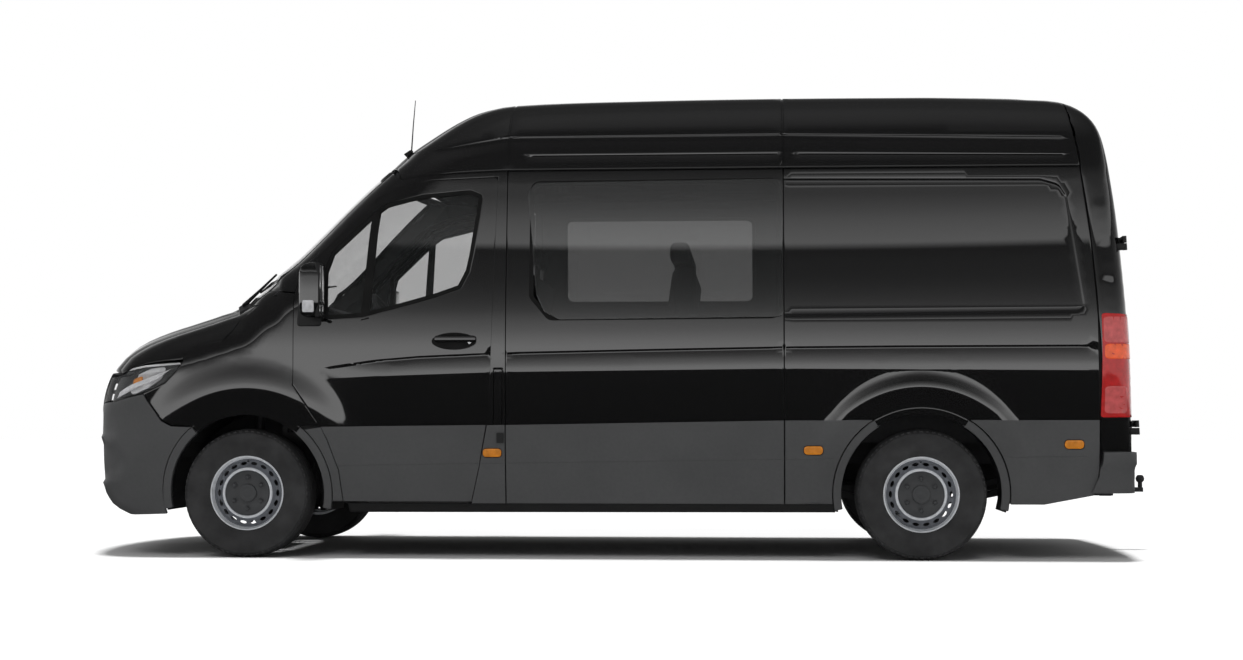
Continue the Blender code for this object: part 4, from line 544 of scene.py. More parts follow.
ORANGE = lens("orange_lens", (0.80, 0.10, 0.02), 1.0, 0.12)
AMBER = lens("amber_lens", (0.55, 0.19, 0.015), 1.0, 0.15)
PALE_LENS = lens("pale_lens", (0.50, 0.50, 0.52), 1.0, 0.12)
CLOTH = cloth("grey_cloth", (0.035, 0.036, 0.04))
CABIN = moulding("cabin_plastic", (0.03, 0.03, 0.032), 0.65)
CAP_GREY = moulding("cap_grey", (0.045, 0.047, 0.050), 0.40)
CHROME = metal("mirror_silver", (0.92, 0.92, 0.93), 0.03)
SLOTS = {"black_paint": TRIM, "grey_plastic": CABIN, "dark_steel": STEEL, "rim_silver": SILVER,
         "tyre_rubber": TYRE_RUBBER, "tinted_glass": DARK_GLASS, "clear_lens": CLEAR, "red_lens": RED,
         "grey_cloth": CLOTH}
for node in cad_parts.values():
    for held in node.material_slots:
        held.material = SLOTS[held.material.name.split(".")[0]]


BROW_EDGES = ((AXLE_X, 0.75, 0.18), (REAR_AXLE_X, 0.665, 0.09))
BROW_RISE, BROW_FALL = 0.013, 0.012
BROW_INNER, BROW_INNER_WIDE, BROW_FOOT_Z = 0.565, 0.11, 0.30
BROW_RINGS = (0.75, 0.72, 0.69, 0.66, 0.635, 0.61, 0.585, 0.572, 0.562, 0.55, 0.525, 0.50, 0.475, 0.455)


def flare(x, z):
    """Height of the brow over each wheel arch: it rises to a ring and falls again inside it."""
    raised = 0.0
    for axle_x, outer, wide in BROW_EDGES:
        r = np.hypot(x - axle_x, z - AXLE_Z)
        brow = ease((outer - r) / wide) * BROW_RISE - ease((BROW_INNER - r) / BROW_INNER_WIDE) * BROW_FALL
        raised = raised + np.where(z > BROW_FOOT_Z, brow, 0.0)
    return raised


FIELD = [(0.80, 1.303), (2.490, 1.320), (2.522, 1.350), (2.440, 1.957), (2.400, 2.022), (2.300, 2.052),
         (0.80, 2.065)]
ROUND_FIELD = rounded(FIELD, 0.07, 8)
TAIL_SEAM = [(2.5895, 0.66), (2.5895, 0.731), (2.5855, 1.313), (2.5585, 1.716), (2.5155, 2.089),
             (2.5125, GUTTER_Z)]


def brow_lines(axle_x):
    """Arcs along the brow over an arch, for the panels it crosses."""
    return [arc((axle_x, AXLE_Z), r, 4, 176, 60) for r in BROW_RINGS]


def side_relief(points):
    """Swages, arch brows and the recessed field, as heights out of the body's side."""
    x, z = points[:, 0], points[:, 2]
    upper, lower = line_z(SWAGE, x), line_z(LOWER_SWAGE, x)
    fade = ease((x + 1.60) / 0.45)
    t = (upper - z) / (upper - lower)
    raised = -0.0065 * fade * (1 - np.clip(t, 0, 1)) ** 2 * ease((upper - z) / 0.0025)
    raised = raised - np.clip(lower - z, 0, 0.25) * 0.03 * fade
    plane = points[:, [0, 2]]
    depth = distance_to(plane, ROUND_FIELD) * np.where(within(plane, [ROUND_FIELD]), 1, -1)
    raised = raised - np.where(x > SEAM_MIDDLE_X, 0.006 * ease(depth / 0.014), 0.0)
    return raised + flare(x, z)


def brow_relief(points):
    """The brows alone, for the lips and lamps that sit on them."""
    return flare(points[:, 0], points[:, 2])


def clad_relief(points):
    """Crease along the middle of the side mouldings."""
    x, z = points[:, 0], points[:, 2]
    above = z - line_z(MID_SEAMS, x)
    return 0.003 * ease(above / 0.002) + 0.014 * np.minimum(above, 0) + flare(x, z)


def swage_lines(low_x, high_x):
    """Lines along the creases between two places, a narrow step under the upper one."""
    xs = [low_x + (high_x - low_x) * i / 40 for i in range(41)]
    lines = []
    for drop in (-0.008, 0.0, 0.0025, 0.012, 0.03):
        lines.append([(x, float(line_z(SWAGE, x)) - drop) for x in xs])
    for drop in (-0.006, 0.0, 0.006):
        lines.append([(x, float(line_z(LOWER_SWAGE, x)) - drop) for x in xs])
    return lines


def clad_top(x):
    """Upper edge of the mouldings."""
    return float(line_z(CLAD_TOPS, x))


def clad_lines(low_x, high_x):
    """Lines along the middle crease of the mouldings."""
    return [[(x, float(line_z(MID_SEAMS, x)) + drop) for x in (low_x, (low_x + high_x) / 2, high_x)]
            for drop in (-0.006, 0.0, 0.002, 0.008)]


def arch(axle_x, radius, start, end, count=40):
    """Arc round an axle, its angles in degrees from the rear."""
    return arc((axle_x, AXLE_Z), radius, start, end, count)


def at_height(radius, z):
    """Angle at which an arch of a radius crosses a height, in degrees from the rear."""
    return degrees(asin((z - AXLE_Z) / radius))


ARCH, LIP, LINER = 0.43, 0.472, 0.455
PANEL_FOOT_Z = 0.66
WINDOW = [(-0.4469, 2.045), (0.8906, 2.053), (0.8906, 1.310), (-0.348, 1.3025), (-0.4469, 1.420)]
DOOR_LIGHTS = [(-1.330, 1.888), (-1.560, 1.672), (-1.592, 1.560), (-1.587, 1.300), (-1.372, 1.312),
               (-1.153, 1.368), (-0.975, 1.417), (-0.835, 1.466), (-0.788, 1.560), (-0.768, 1.66),
               (-0.738, 1.860), (-0.722, 1.985), (-0.790, 2.012), (-1.048, 1.990), (-1.255, 1.942)]
LEFT = {"door": "cab_door_left", "glass": "cab_glass_left", "front": "side_panel_left",
        "front_glass": "side_glass_left", "back": "rear_panel_left"}
RIGHT = {"door": "cab_door_right", "glass": "cab_glass_right", "front": "sliding_door",
         "front_glass": "sliding_door_glass", "back": "rear_panel_right"}
BONDED = [(-0.4755, 2.000), (-0.430, 2.0505), (0.9155, 2.062), (0.9155, 1.304), (-0.2935, 1.292),
          (-0.3755, 1.335), (-0.4195, 1.429)]


def field_lines():
    """Loops along the border of the recessed field."""
    loops = [grow(ROUND_FIELD, reach) for reach in (0.0, -0.005, -0.010, -0.015)]
    return [loop + loop[:1] for loop in loops]


def side_panels(side, names, word):
    """Painted panels behind the cab door, with the window bonded over the first one."""
    ray = sideways(side)
    window = rounded(WINDOW, 0.045)
    low, high = SEAM_FRONT_X, SEAM_MIDDLE_X
    outline = [(low, PANEL_FOOT_Z), (high, PANEL_FOOT_Z), (high, GUTTER_Z), (low, GUTTER_Z)]
    lines = swage_lines(low + 0.01, high - 0.01)
    panel(names["front"] + "_skin", ray, grow(outline, -GAP), "body", PAINT, 0.02, [window], 0.032,
          lines, relief=side_relief, replaces=[names["front"]])
    pane = rounded(BONDED, 0.035)
    panel(names["front_glass"] + "_pane", ray, pane, "body", DARK_GLASS, 0.004, step=0.05, raised=0.0048,
          rim=0.0012, replaces=[names["front_glass"]])
    panel("window_seal_" + word, ray, grow(window, 0.014), "body", SEAL, 0.008,
          [grow(window, -0.010)], 0.03, raised=0.0006, rim=0.001)
    back_top = [(high, GUTTER_Z)] + TAIL_SEAM[::-1]
    cross = at_height(ARCH, PANEL_FOOT_Z)
    outline = back_top + arch(REAR_AXLE_X, ARCH, cross, 180 - cross) + [(high, PANEL_FOOT_Z)]
    panel(names["back"] + "_skin", ray, grow(outline, -GAP), "body", PAINT, 0.02, (), 0.032,
          swage_lines(high + 0.01, SEAM_TAIL_X - 0.01) + brow_lines(REAR_AXLE_X) + field_lines(),
          relief=side_relief, replaces=[names["back"]])


def claddings(side, word):
    """Grey mouldings along the sills, each on its own panel, and the arch lips."""
    ray = sideways(side)
    low, high = SEAM_FRONT_X, SEAM_MIDDLE_X
    outline = [(low, SILL_Z), (high, SILL_Z), (high, clad_top(high)), (low, clad_top(low))]
    panel("side_moulding_" + word, ray, grow(outline, -GAP), "body", PLASTIC, 0.02, (), 0.04,
          clad_lines(low + 0.01, high - 0.01), 0.004, clad_relief, 0.004)
    outline = [(low, SILL_Z), (low, clad_top(low)), (-0.689, clad_top(-0.7)), (-0.733, 0.495),
               (-0.777, 0.307), (-0.777, SILL_Z)]
    panel("pillar_moulding_" + word, ray, grow(outline, -0.0025), "body", PLASTIC, 0.02, (), 0.04,
          clad_lines(-0.75, low - 0.01), 0.004, clad_relief, 0.003)
    rocker = [(-1.452, 0.246), (1.195, 0.252), (1.180, 0.325), (-1.470, 0.325)]
    panel("rocker_" + word, ray, rocker, "body", TRIM, 0.03, step=0.05, raised=-0.024, rim=0.006)
    seam = TAIL_SEAM + [(2.493, 2.29)]
    tail = [(x - 0.04, z) for x, z in seam] + [(x + 0.035, z) for x, z in seam[::-1]]
    panel("tail_strip_" + word, ray, tail, "body", TRIM, 0.006, step=0.06, raised=-0.028)
    foot, head = at_height(LINER, 0.30), at_height(LINER, 0.77)
    strips = (arch(AXLE_X, LINER, foot, head, 12) + arch(REAR_AXLE_X, LINER, 180 - head, 180 - foot, 12),
              arch(REAR_AXLE_X, LINER, foot, head, 12) + [(2.56, 0.77), (2.55, 0.36), (2.40, 0.32)],
              [(-1.0, 2.085), (2.49, 2.085), (2.49, 2.16), (-1.0, 2.14)])
    strips += tuple([(x - 0.035, 0.31), (x + 0.03, 0.31), (x + 0.03, 2.11), (x - 0.035, 2.11)]
                    for x in (SEAM_FRONT_X, SEAM_MIDDLE_X))
    for i, strip in enumerate(strips):
        panel("inner_strip_%s_%d" % (word, i), ray, strip, "body", TRIM, 0.006, step=0.06, raised=-0.030)
    front = SEAM_MIDDLE_X
    cross, foot = at_height(LIP, clad_top(1.2)), at_height(LIP, SILL_Z)
    outline = ([(front, SILL_Z)] + arch(REAR_AXLE_X, LIP, 180 - foot, 180 - cross, 12)
               + [(front, clad_top(front))])
    panel("sill_moulding_" + word, ray, grow(outline, -GAP), "body", PLASTIC, 0.02, (), 0.04,
          clad_lines(front + 0.01, 1.18), 0.004, clad_relief, 0.004)
    outline = ([(2.560, 0.345), (2.5885, 0.47), (2.5895, clad_top(2.5))]
               + arch(REAR_AXLE_X, LIP, cross, foot, 12) + [(2.30, SILL_Z)])
    panel("corner_moulding_" + word, ray, grow(outline, -GAP), "body", PLASTIC, 0.02, (), 0.04,
          clad_lines(2.12, SEAM_TAIL_X - 0.01), 0.004, clad_relief, 0.004)
    for axle_x, place in ((AXLE_X, "front"), (REAR_AXLE_X, "rear")):
        low, top = at_height(LIP, 0.26), at_height(LIP, clad_top(axle_x))
        for i, (start, end, material) in enumerate(((low, top, PLASTIC), (top, 180 - top, PAINT),
                                                    (180 - top, 180 - low, PLASTIC))):
            ring = (arch(axle_x, LIP - 0.002, start + 0.2, end - 0.2, 30)
                    + arch(axle_x, ARCH - 0.004, end - 0.2, start + 0.2, 30))
            panel("arch_lip_%s_%s_%d" % (place, word, i), ray, ring, "body", material, 0.03, (), 0.03, (),
                  -0.002, brow_relief, 0.004)
    door = [(-1.595, clad_top(-1.6)), (-1.561, 0.641), (-1.502, 0.479), (-1.480, SILL_Z + 0.01)]
    outline = door + arch(AXLE_X, LIP, at_height(LIP, SILL_Z + 0.01), at_height(LIP, 0.70), 12)
    panel("wing_moulding_" + word, ray, grow(outline, -GAP), "body", PLASTIC, 0.02, (), 0.03, (),
          0.004, clad_relief, 0.003)


def cab_door(side, names, word):
    """Door's outer skin with its two lights, their seal and the bar between them."""
    ray = sideways(side)
    body = names["door"]
    lights = rounded(DOOR_LIGHTS, 0.03)
    outline = rounded(CAB_DOOR, 0.02)
    panel(body + "_skin", ray, outline, body, PAINT, 0.02, [lights], 0.028,
          swage_lines(-1.55, -0.69) + brow_lines(AXLE_X), relief=side_relief, replaces=[body])
    panel(names["glass"] + "_pane", ray, grow(lights, -0.012), body, CAB_GLASS, 0.004, step=0.05,
          raised=-0.007, replaces=[names["glass"]])
    panel("door_seal_" + word, ray, grow(lights, -0.0005), body, SEAL, 0.010, [grow(lights, -0.022)],
          0.03, raised=-0.001, rim=0.001)
    bar = [(-1.335, 1.90), (-1.290, 1.94), (-1.335, 1.30), (-1.385, 1.29)]
    panel("window_bar_" + word, ray, bar, body, SEAL, 0.02, step=0.03, raised=0.0, rim=0.002)
    low = [(x, z) for x, z in CAB_DOOR if z < 0.70]
    outline = [(-0.692, clad_top(-0.7)), *low, (-1.598, clad_top(-1.6))]
    panel("door_moulding_" + word, ray, grow(outline, -0.0015), body, PLASTIC, 0.014, (), 0.035,
          clad_lines(-1.50, -0.74), 0.004, clad_relief, 0.003)


for side, names, word in ((-1, LEFT, "left"), (1, RIGHT, "right")):
    side_panels(side, names, word)
    claddings(side, word)
    cab_door(side, names, word)


def from_point(centre_x, centre_z, facing):
    """Rays from one point: the plane's first axis turns about the upright, the second rises."""
    def ray(a, b):
        zero = np.zeros_like(a)
        directions = np.stack([facing * np.cos(b) * np.cos(a), np.cos(b) * np.sin(a), np.sin(b)], 1)
        return np.stack([zero + centre_x, zero, zero + centre_z], 1), directions
    return ray


def seen_from(spots, centre_x, centre_z, facing):
    """Places of some points in the plane of from_point."""
    return [(atan2(y, facing * (x - centre_x)), atan2(z - centre_z, hypot(x - centre_x, y)))
            for x, y, z in spots]


def in_turn(spots, centre_x, facing):
    """Places of some points in the plane of in_plan."""
    return [(atan2(y, facing * (x - centre_x)), z) for x, y, z in spots]


AHEAD, NOSEWARD = lengthways(SCREEN_RAY_X, -1), lengthways(NOSE_RAY_X, -1)
REARWARD, LEFTWARD = lengthways(REAR_RAY_X, 1), sideways(-1)


def both(spots):
    """Line of points on the left, and the same on the right in the opposite order."""
    spots = [tuple(p) for p in spots]
    return spots + [(x, -y, z) for x, y, z in reversed(spots)]


LAMP = [(-2.764, 0.857), (-2.74, 0.997), (-2.657, 1.04), (-2.523, 1.063), (-2.372, 1.074),
        (-2.408, 1.017), (-2.468, 0.953), (-2.589, 0.897)]
BONNET_SIDE = [(-2.372, 1.083), (-2.358, 1.129), (-2.282, 1.162), (-2.15, 1.183), (-2.103, 1.245),
               (-2.072, 1.315), (-1.985, 1.385)]
NOSE_CX, NOSE_CZ = -1.3, 0.5
PLAN_CX = -1.9155
GRILLE_HALF, GRILLE_LOW, GRILLE_TOP = 0.60, 0.79, 1.03
VENTS = ((-0.30, 0.335, 0.16, 0.055), (0.30, 0.335, 0.16, 0.055), (0.0, 0.47, 0.38, 0.06))
SCREEN = [(-0.800, 1.385), (-0.60, 1.410), (-0.30, 1.433), (0.0, 1.440), (0.30, 1.433), (0.60, 1.410),
          (0.800, 1.385), (0.776, 1.56), (0.750, 1.76), (0.727, 1.96), (0.702, 2.150), (0.45, 2.176),
          (0.0, 2.190), (-0.45, 2.176), (-0.702, 2.150), (-0.727, 1.96), (-0.750, 1.76),
          (-0.776, 1.56)]


def windscreen():
    panel("windscreen_pane", AHEAD, grow(SCREEN, -0.004), "body", CAB_GLASS, 0.006, step=0.06,
          raised=-0.003, replaces=["windscreen"])
    panel("screen_seal", AHEAD, grow(SCREEN, -0.001), "body", SEAL, 0.010, [grow(SCREEN, -0.035)], 0.04,
          raised=-0.0015, rim=0.001)


def bonnet():
    """Bonnet from the screen's foot to the lamps and the grille."""
    foot = hits(AHEAD, [(-0.790, 1.372), (-0.60, 1.395), (-0.30, 1.418), (0, 1.425)])
    edge = hits(LEFTWARD, BONNET_SIDE)
    lamp_top = hits(LEFTWARD, [(-2.523, 1.073), (-2.657, 1.05), (-2.74, 1.007)])
    nose = hits(NOSEWARD, [(-0.80, 1.022), (-GRILLE_HALF, GRILLE_TOP + 0.005), (-0.30, GRILLE_TOP + 0.012)])
    outline = seen_from(both(foot[::-1] + edge[::-1] + lamp_top + nose), NOSE_CX, NOSE_CZ, -1)
    panel("bonnet_skin", from_point(NOSE_CX, NOSE_CZ, -1), outline, "bonnet", PAINT, 0.016, (), 0.03,
          relief=bonnet_relief, rim=0.004, replaces=["bonnet"])


def bumper():
    """Bumper from arch to arch, with the slotted vents in it."""
    plan = in_plan(PLAN_CX, -1)
    arch_line = arch(AXLE_X, LIP, 180 - at_height(LIP, 0.712), 180 - at_height(LIP, 0.235), 24)
    top = [(-2.338, 0.711), (-2.426, 0.715), (-2.482, 0.744), (-2.565, 0.851), (-2.589, 0.891),
           (-2.764, 0.851)]
    side = hits(LEFTWARD, arch_line[::-1] + top)
    mouth = hits(NOSEWARD, [(-0.78, 0.842), (-GRILLE_HALF, GRILLE_LOW), (-0.3, GRILLE_LOW - 0.01)])
    sill = hits(NOSEWARD, [(-0.3, 0.222), (-0.6, 0.222), (-0.85, 0.225)])
    bottom = in_turn(both(sill[::-1]), PLAN_CX, -1)
    outline = in_turn(both(side + mouth), PLAN_CX, -1) + [(-a, z) for a, z in bottom]
    vents = [arc_box(*vent) for vent in VENTS]
    panel("front_bumper_skin", plan, outline, "body", PLASTIC, 0.022, vents, 0.03, bumper_lines(),
          relief=bumper_relief, rim=0.005, replaces=["front_bumper"])
    for i, vent in enumerate(vents):
        panel("bumper_vent_%d" % i, plan, grow(vent, 0.012), "body", TRIM, 0.006, slot_rows(vent), 0.02,
              raised=-0.022)


def grille():
    """Frame of the grille, its three bars and the dark net behind them."""
    mouth = [(-GRILLE_HALF, GRILLE_LOW), (0, GRILLE_LOW - 0.012), (GRILLE_HALF, GRILLE_LOW),
             (GRILLE_HALF + 0.06, GRILLE_TOP - 0.02), (0, GRILLE_TOP + 0.01),
             (-GRILLE_HALF - 0.06, GRILLE_TOP - 0.02)]
    mouth = rounded(mouth, 0.05)
    panel("grille_frame", NOSEWARD, grow(mouth, 0.004), "body", TRIM, 0.04, [grow(mouth, -0.028)], 0.03,
          raised=0.008, rim=0.004, replaces=["grille"])
    panel("grille_backing", NOSEWARD, grow(mouth, -0.02), "body", SEAL, 0.004, step=0.05, raised=-0.05)
    for i in range(3):
        z = GRILLE_LOW + 0.055 + i * 0.062
        reach = GRILLE_HALF + 0.012 + i * 0.02
        bar = [(-reach, z), (reach, z), (reach, z + 0.022), (-reach, z + 0.022)]
        panel("grille_bar_%d" % i, NOSEWARD, bar, "body", TRIM, 0.03, step=0.05, raised=0.002, rim=0.004)


def bonnet_relief(points):
    """Two soft creases that widen towards the screen."""
    x, y = points[:, 0], np.abs(points[:, 1])
    crease = 0.42 + 0.16 * np.clip((x + 3.0) / 1.1, 0, 1)
    return 0.008 * np.exp(-((y - crease) / 0.05) ** 2) * ease((x + 2.98) / 0.2)


def bumper_relief(points):
    """Crease below the lamps, step above the sill and brow at the wheel arch."""
    x, z = points[:, 0], points[:, 2]
    ledge = -0.008 * ease((z - 0.655) / 0.02) * (1 - ease((z - 0.72) / 0.16)) * ease((-2.72 - x) / 0.08)
    low = -0.04 * np.clip(0.42 - z, 0, 1) - 0.008 * ease((0.405 - z) / 0.02) * ease((-2.66 - x) / 0.10)
    inset = np.hypot((x + 2.99) / 0.30, (z - 0.52) / 0.125)
    return ledge + low - 0.014 * ease((1 - inset) / 0.15) + flare(x, z) * 0.8


def bumper_lines():
    """Lines round the bumper along the edges of its steps."""
    return [[(-1.15 + 2.3 * i / 30, z) for i in range(31)] for z in (0.42, 0.40, 0.37, 0.655, 0.675)]


def arc_box(middle, z, half, height):
    """Rounded opening in the plane of angles and heights."""
    return rounded([(middle - half * 0.5, z - height / 2), (middle + half * 0.5, z - height / 2),
                    (middle + half * 0.5, z + height / 2), (middle - half * 0.5, z + height / 2)], 0.02)


def slot_rows(vent):
    """Two rows of slots inside a vent."""
    low, high = min(p[0] for p in vent), max(p[0] for p in vent)
    bottom, top = min(p[1] for p in vent), max(p[1] for p in vent)
    count = max(4, round((high - low) / 0.03))
    rows = []
    for row in (0, 1):
        for i in range(count):
            a = low + (high - low) * (i + 0.2) / count
            b = low + (high - low) * (i + 0.8) / count
            c = bottom + (top - bottom) * (row + 0.15) / 2
            d = bottom + (top - bottom) * (row + 0.85) / 2
            rows.append([(a, c), (b, c), (b, d), (a, d)])
    return rows


def headlamp(side, word):
    """Lens, dark bezel, reflector bowl, amber reflector and rim."""
    edge = in_turn(hits(LEFTWARD, LAMP), PLAN_CX, -1)
    inner = in_turn(hits(NOSEWARD, [(-0.67, 0.835), (-0.70, 0.99)]), PLAN_CX, -1)
    outline = edge[1:] + [edge[0], inner[0], inner[1]]
    outline = [(a * -side, z) for a, z in outline]
    plan = in_plan(PLAN_CX, -1)
    shape = rounded(outline, 0.02)
    panel("headlamp_lens_" + word, plan, grow(shape, -0.004), "body", CLEAR, 0.004, step=0.03,
          raised=-0.001, replaces=["headlamp_" + word])
    panel("headlamp_bezel_" + word, plan, grow(shape, -0.006), "body", TRIM, 0.01, step=0.03,
          raised=-0.05)
    angles = [a for a, _ in outline]
    low, high = min(angles), max(angles)
    out = high if abs(high) > abs(low) else low
    bowl = [(out * 0.93, 1.045), (out * 0.865, 1.035), (out * 0.80, 1.0), (out * 0.775, 0.93),
            (out * 0.80, 0.885), (out * 0.86, 0.925), (out * 0.90, 0.98)]
    lower = [(out * 0.95, 1.03), (out * 0.90, 0.975), (out * 0.80, 0.912), (out * 0.73, 0.872),
             (out * 0.735, 0.905), (out * 0.80, 0.945), (out * 0.87, 0.985)]
    panel("light_bowl_" + word, plan, lower, "body", BRIGHT, 0.006, step=0.015, raised=-0.012,
          relief=lambda p: -0.006 * np.sin(p[:, 2] * 40) ** 2)
    panel("reflector_" + word, plan, rounded(bowl, 0.02), "body", BRIGHT, 0.006, step=0.015,
          raised=-0.028, relief=lambda p: -0.02 * np.exp(-((p[:, 2] - 0.975) / 0.03) ** 2))
    mark = [(out * 0.84, 0.95), (out * 0.80, 0.925), (out * 0.80, 0.975), (out * 0.84, 0.995)]
    panel("indicator_" + word, plan, rounded(mark, 0.012), "body", AMBER, 0.006, step=0.015, raised=-0.018)
    strip = [(out * 0.985, 1.066), (out * 0.99, 1.056), (out * 0.84, 1.042), (out * 0.70, 1.012),
             (out * 0.70, 1.022), (out * 0.84, 1.052)]
    panel("running_light_" + word, plan, strip, "body", BRIGHT, 0.006, step=0.02, raised=-0.010)


def wing(side, word):
    """Front wing between the bonnet, the lamp, the bumper and the cab door."""
    top = at_height(ARCH, 0.714)
    rear = [(-1.600, 0.716), (-1.645, 0.779), (-1.752, 0.943), (-1.755, 1.446)]
    lamp_edge = [(-2.372, 1.074), (-2.408, 1.017), (-2.468, 0.953), (-2.589, 0.897)]
    screen = [(x, z) for x, _, z in hits(AHEAD, [(-0.806, 1.385), (-0.795, 1.47)])]
    outline = (rear + screen[::-1] + BONNET_SIDE[::-1] + lamp_edge
               + [(-2.565, 0.855), (-2.482, 0.748), (-2.426, 0.719), (-2.338, 0.715)]
               + arc((AXLE_X, AXLE_Z), ARCH, 180 - top, top, 40))
    panel("wing_skin_" + word, sideways(side), grow(outline, -GAP), "body", PAINT, 0.016, (), 0.028,
          brow_lines(AXLE_X), relief=side_relief, replaces=["wing_" + word])


def pillar_relief(points):
    """Swages of the body's side, kept shallow over the pillar behind the cab door."""
    return np.maximum(side_relief(points), -0.001)


def pillars(side, word):
    """Windscreen pillar, rail over the door, the pillar behind it and the sill below it."""
    edge = hits(AHEAD, [(-0.797, 1.47), (-0.776, 1.60), (-0.754, 1.76), (-0.731, 1.96), (-0.708, 2.135)])
    screen = [(x, z) for x, _, z in edge]
    gutter = [(-1.187, 2.080), (-1.0, 2.098), (-0.80, 2.110), (SEAM_FRONT_X, GUTTER_Z)]
    outline = ([(-1.755, 1.450)] + screen + gutter
               + [(SEAM_FRONT_X, PANEL_FOOT_Z), (SEAM_FRONT_X, SILL_Z), (-1.480, SILL_Z), (-1.480, 0.306)]
               + list(CAB_DOOR[10:0:-1]))
    opening = rounded([(-0.6525, 0.718), (-0.6010, 0.718), (-0.6010, 1.030), (-0.6525, 1.030)], 0.006)
    panel("pillar_skin_" + word, sideways(side), grow(outline, -0.0015), "body", PAINT, 0.014,
          [opening] if side < 0 else (), 0.03, raised=0.0015, relief=pillar_relief)


TAIL_OVER = [(60, 2.476), (54, 2.470), (48, 2.466), (42, 2.462), (34, 2.458), (26, 2.454), (18, 2.451),
             (10, 2.449), (2, 2.448)]


def roof():
    """High roof from gutter to gutter, as one skin."""
    crest = hits(AHEAD, [(-0.706, 2.157), (-0.45, 2.183), (-0.2, 2.194), (0, 2.197)])
    side = hits(LEFTWARD, [(-1.187, 2.084), (-1.0, 2.102), (-0.80, 2.114), (SEAM_FRONT_X, 2.122),
                           (0.9, 2.124), (2.5115, 2.122), (2.4915, 2.27)])
    line = [(x, atan2(y, z - ROOF_AXIS_Z)) for x, y, z in crest[::-1] + side]
    line += [(x, -radians(b)) for b, x in TAIL_OVER]
    outline = line + [(x, -b) for x, b in reversed(line) if abs(b) > 1e-6]
    panel("roof_skin", around(ROOF_AXIS_Z), outline, "body", PAINT, 0.02, (), 0.05, roof_lines(),
          relief=roof_relief, rim=0.004, replaces=["roof"])


CREASE = ((-1.09, 2.24), (-0.60, 2.318), (0.9, 2.321), (2.5, 2.288))
GROOVE = ((-0.5, 2.200), (0.9, 2.200), (2.43, 2.180))


def roof_lines():
    """Lines along the crease and the grooves of the shoulders, and across at the roof's seams."""
    lines = []
    xs = [-0.98 + 3.40 * i / 60 for i in range(61)]
    for line, drops in ((CREASE, (0.0, 0.005, 0.010, 0.04, 0.10)), (GROOVE, (-0.009, 0.0, 0.009))):
        for drop in drops:
            spots = throw(sideways(1), [(x, float(line_z(line, x)) - drop) for x in xs])
            turns = [(x, atan2(y, z - ROOF_AXIS_Z)) for x, y, z in spots]
            lines += [turns, [(x, -b) for x, b in turns]]
    for seam in (SEAM_FRONT_X, SEAM_MIDDLE_X):
        for gap in (-0.006, -0.003, 0.003, 0.006):
            lines.append([(seam + gap, radians(-74 + 148 * i / 40)) for i in range(41)])
    return lines


def roof_relief(points):
    """Crease along each shoulder, the long grooves below it and shallow ribs on top."""
    x, y, z = points[:, 0], np.abs(points[:, 1]), points[:, 2]
    crease = line_z(CREASE, x)
    step = -0.007 * ease((crease - z) / 0.010) * (1 - ease((crease - 0.012 - z) / 0.09))
    groove_z = line_z(GROOVE, x)
    along_it = ease((x + 0.52) / 0.03) * ease((2.45 - x) / 0.03)
    along_it = along_it * (1 - ease((0.035 - np.abs(x - 0.934)) / 0.02))
    groove = -0.006 * np.clip(1 - np.abs(z - groove_z) / 0.009, 0, 1) * along_it
    ribs = 0.006 * np.cos(y * 22) * ease((0.62 - y) / 0.1) * ease((x + 0.75) / 0.1) * ease((2.3 - x) / 0.1)
    near = np.minimum(np.abs(x - SEAM_FRONT_X), np.abs(x - SEAM_MIDDLE_X))
    seams = -0.004 * ease((0.006 - near) / 0.003)
    return np.where(z > 2.12, step + groove + ribs + seams, 0.0)


REAR_CENTRE = (1.0, 1.4)
DOORWAY = ((-0.862, 0.585), (-0.862, 1.355), (-0.849, 1.876), (-0.819, 2.136), (-0.759, 2.280),
           (-0.656, 2.364), (-0.3, 2.372), (0, 2.373))


def rear_end():
    """Painted frame round the rear doors, from the sides' seams to the doorway."""
    seam = [(2.5895, 0.585), *TAIL_SEAM[1:5], (2.4955, 2.27)]
    side = hits(LEFTWARD, [(x + GAP, z) for x, z in seam])
    over = hits(around(ROOF_AXIS_Z), [(x + 0.005, -radians(b)) for b, x in TAIL_OVER])
    outer = seen_from(both(side + over), *REAR_CENTRE, 1)
    inner = seen_from(both(hits(REARWARD, DOORWAY)), *REAR_CENTRE, 1)
    panel("rear_corners", from_point(*REAR_CENTRE, 1), outer + inner[::-1], "body", PAINT, 0.016, (), 0.02,
          replaces=["rear_frame"])


for side, word in ((-1, "left"), (1, "right")):
    pillars(side, word)
windscreen()
bonnet()
bumper()
grille()
for side, word in ((-1, "left"), (1, "right")):
    headlamp(side, word)
    wing(side, word)
roof()
rear_end()


LAMP_BANDS = ((1.16, 1.30, 0.05, 0.80, PALE_RED), (1.075, 1.155, 0.06, 0.82, ORANGE),
              (0.785, 0.93, 0.06, 0.55, PALE_RED))


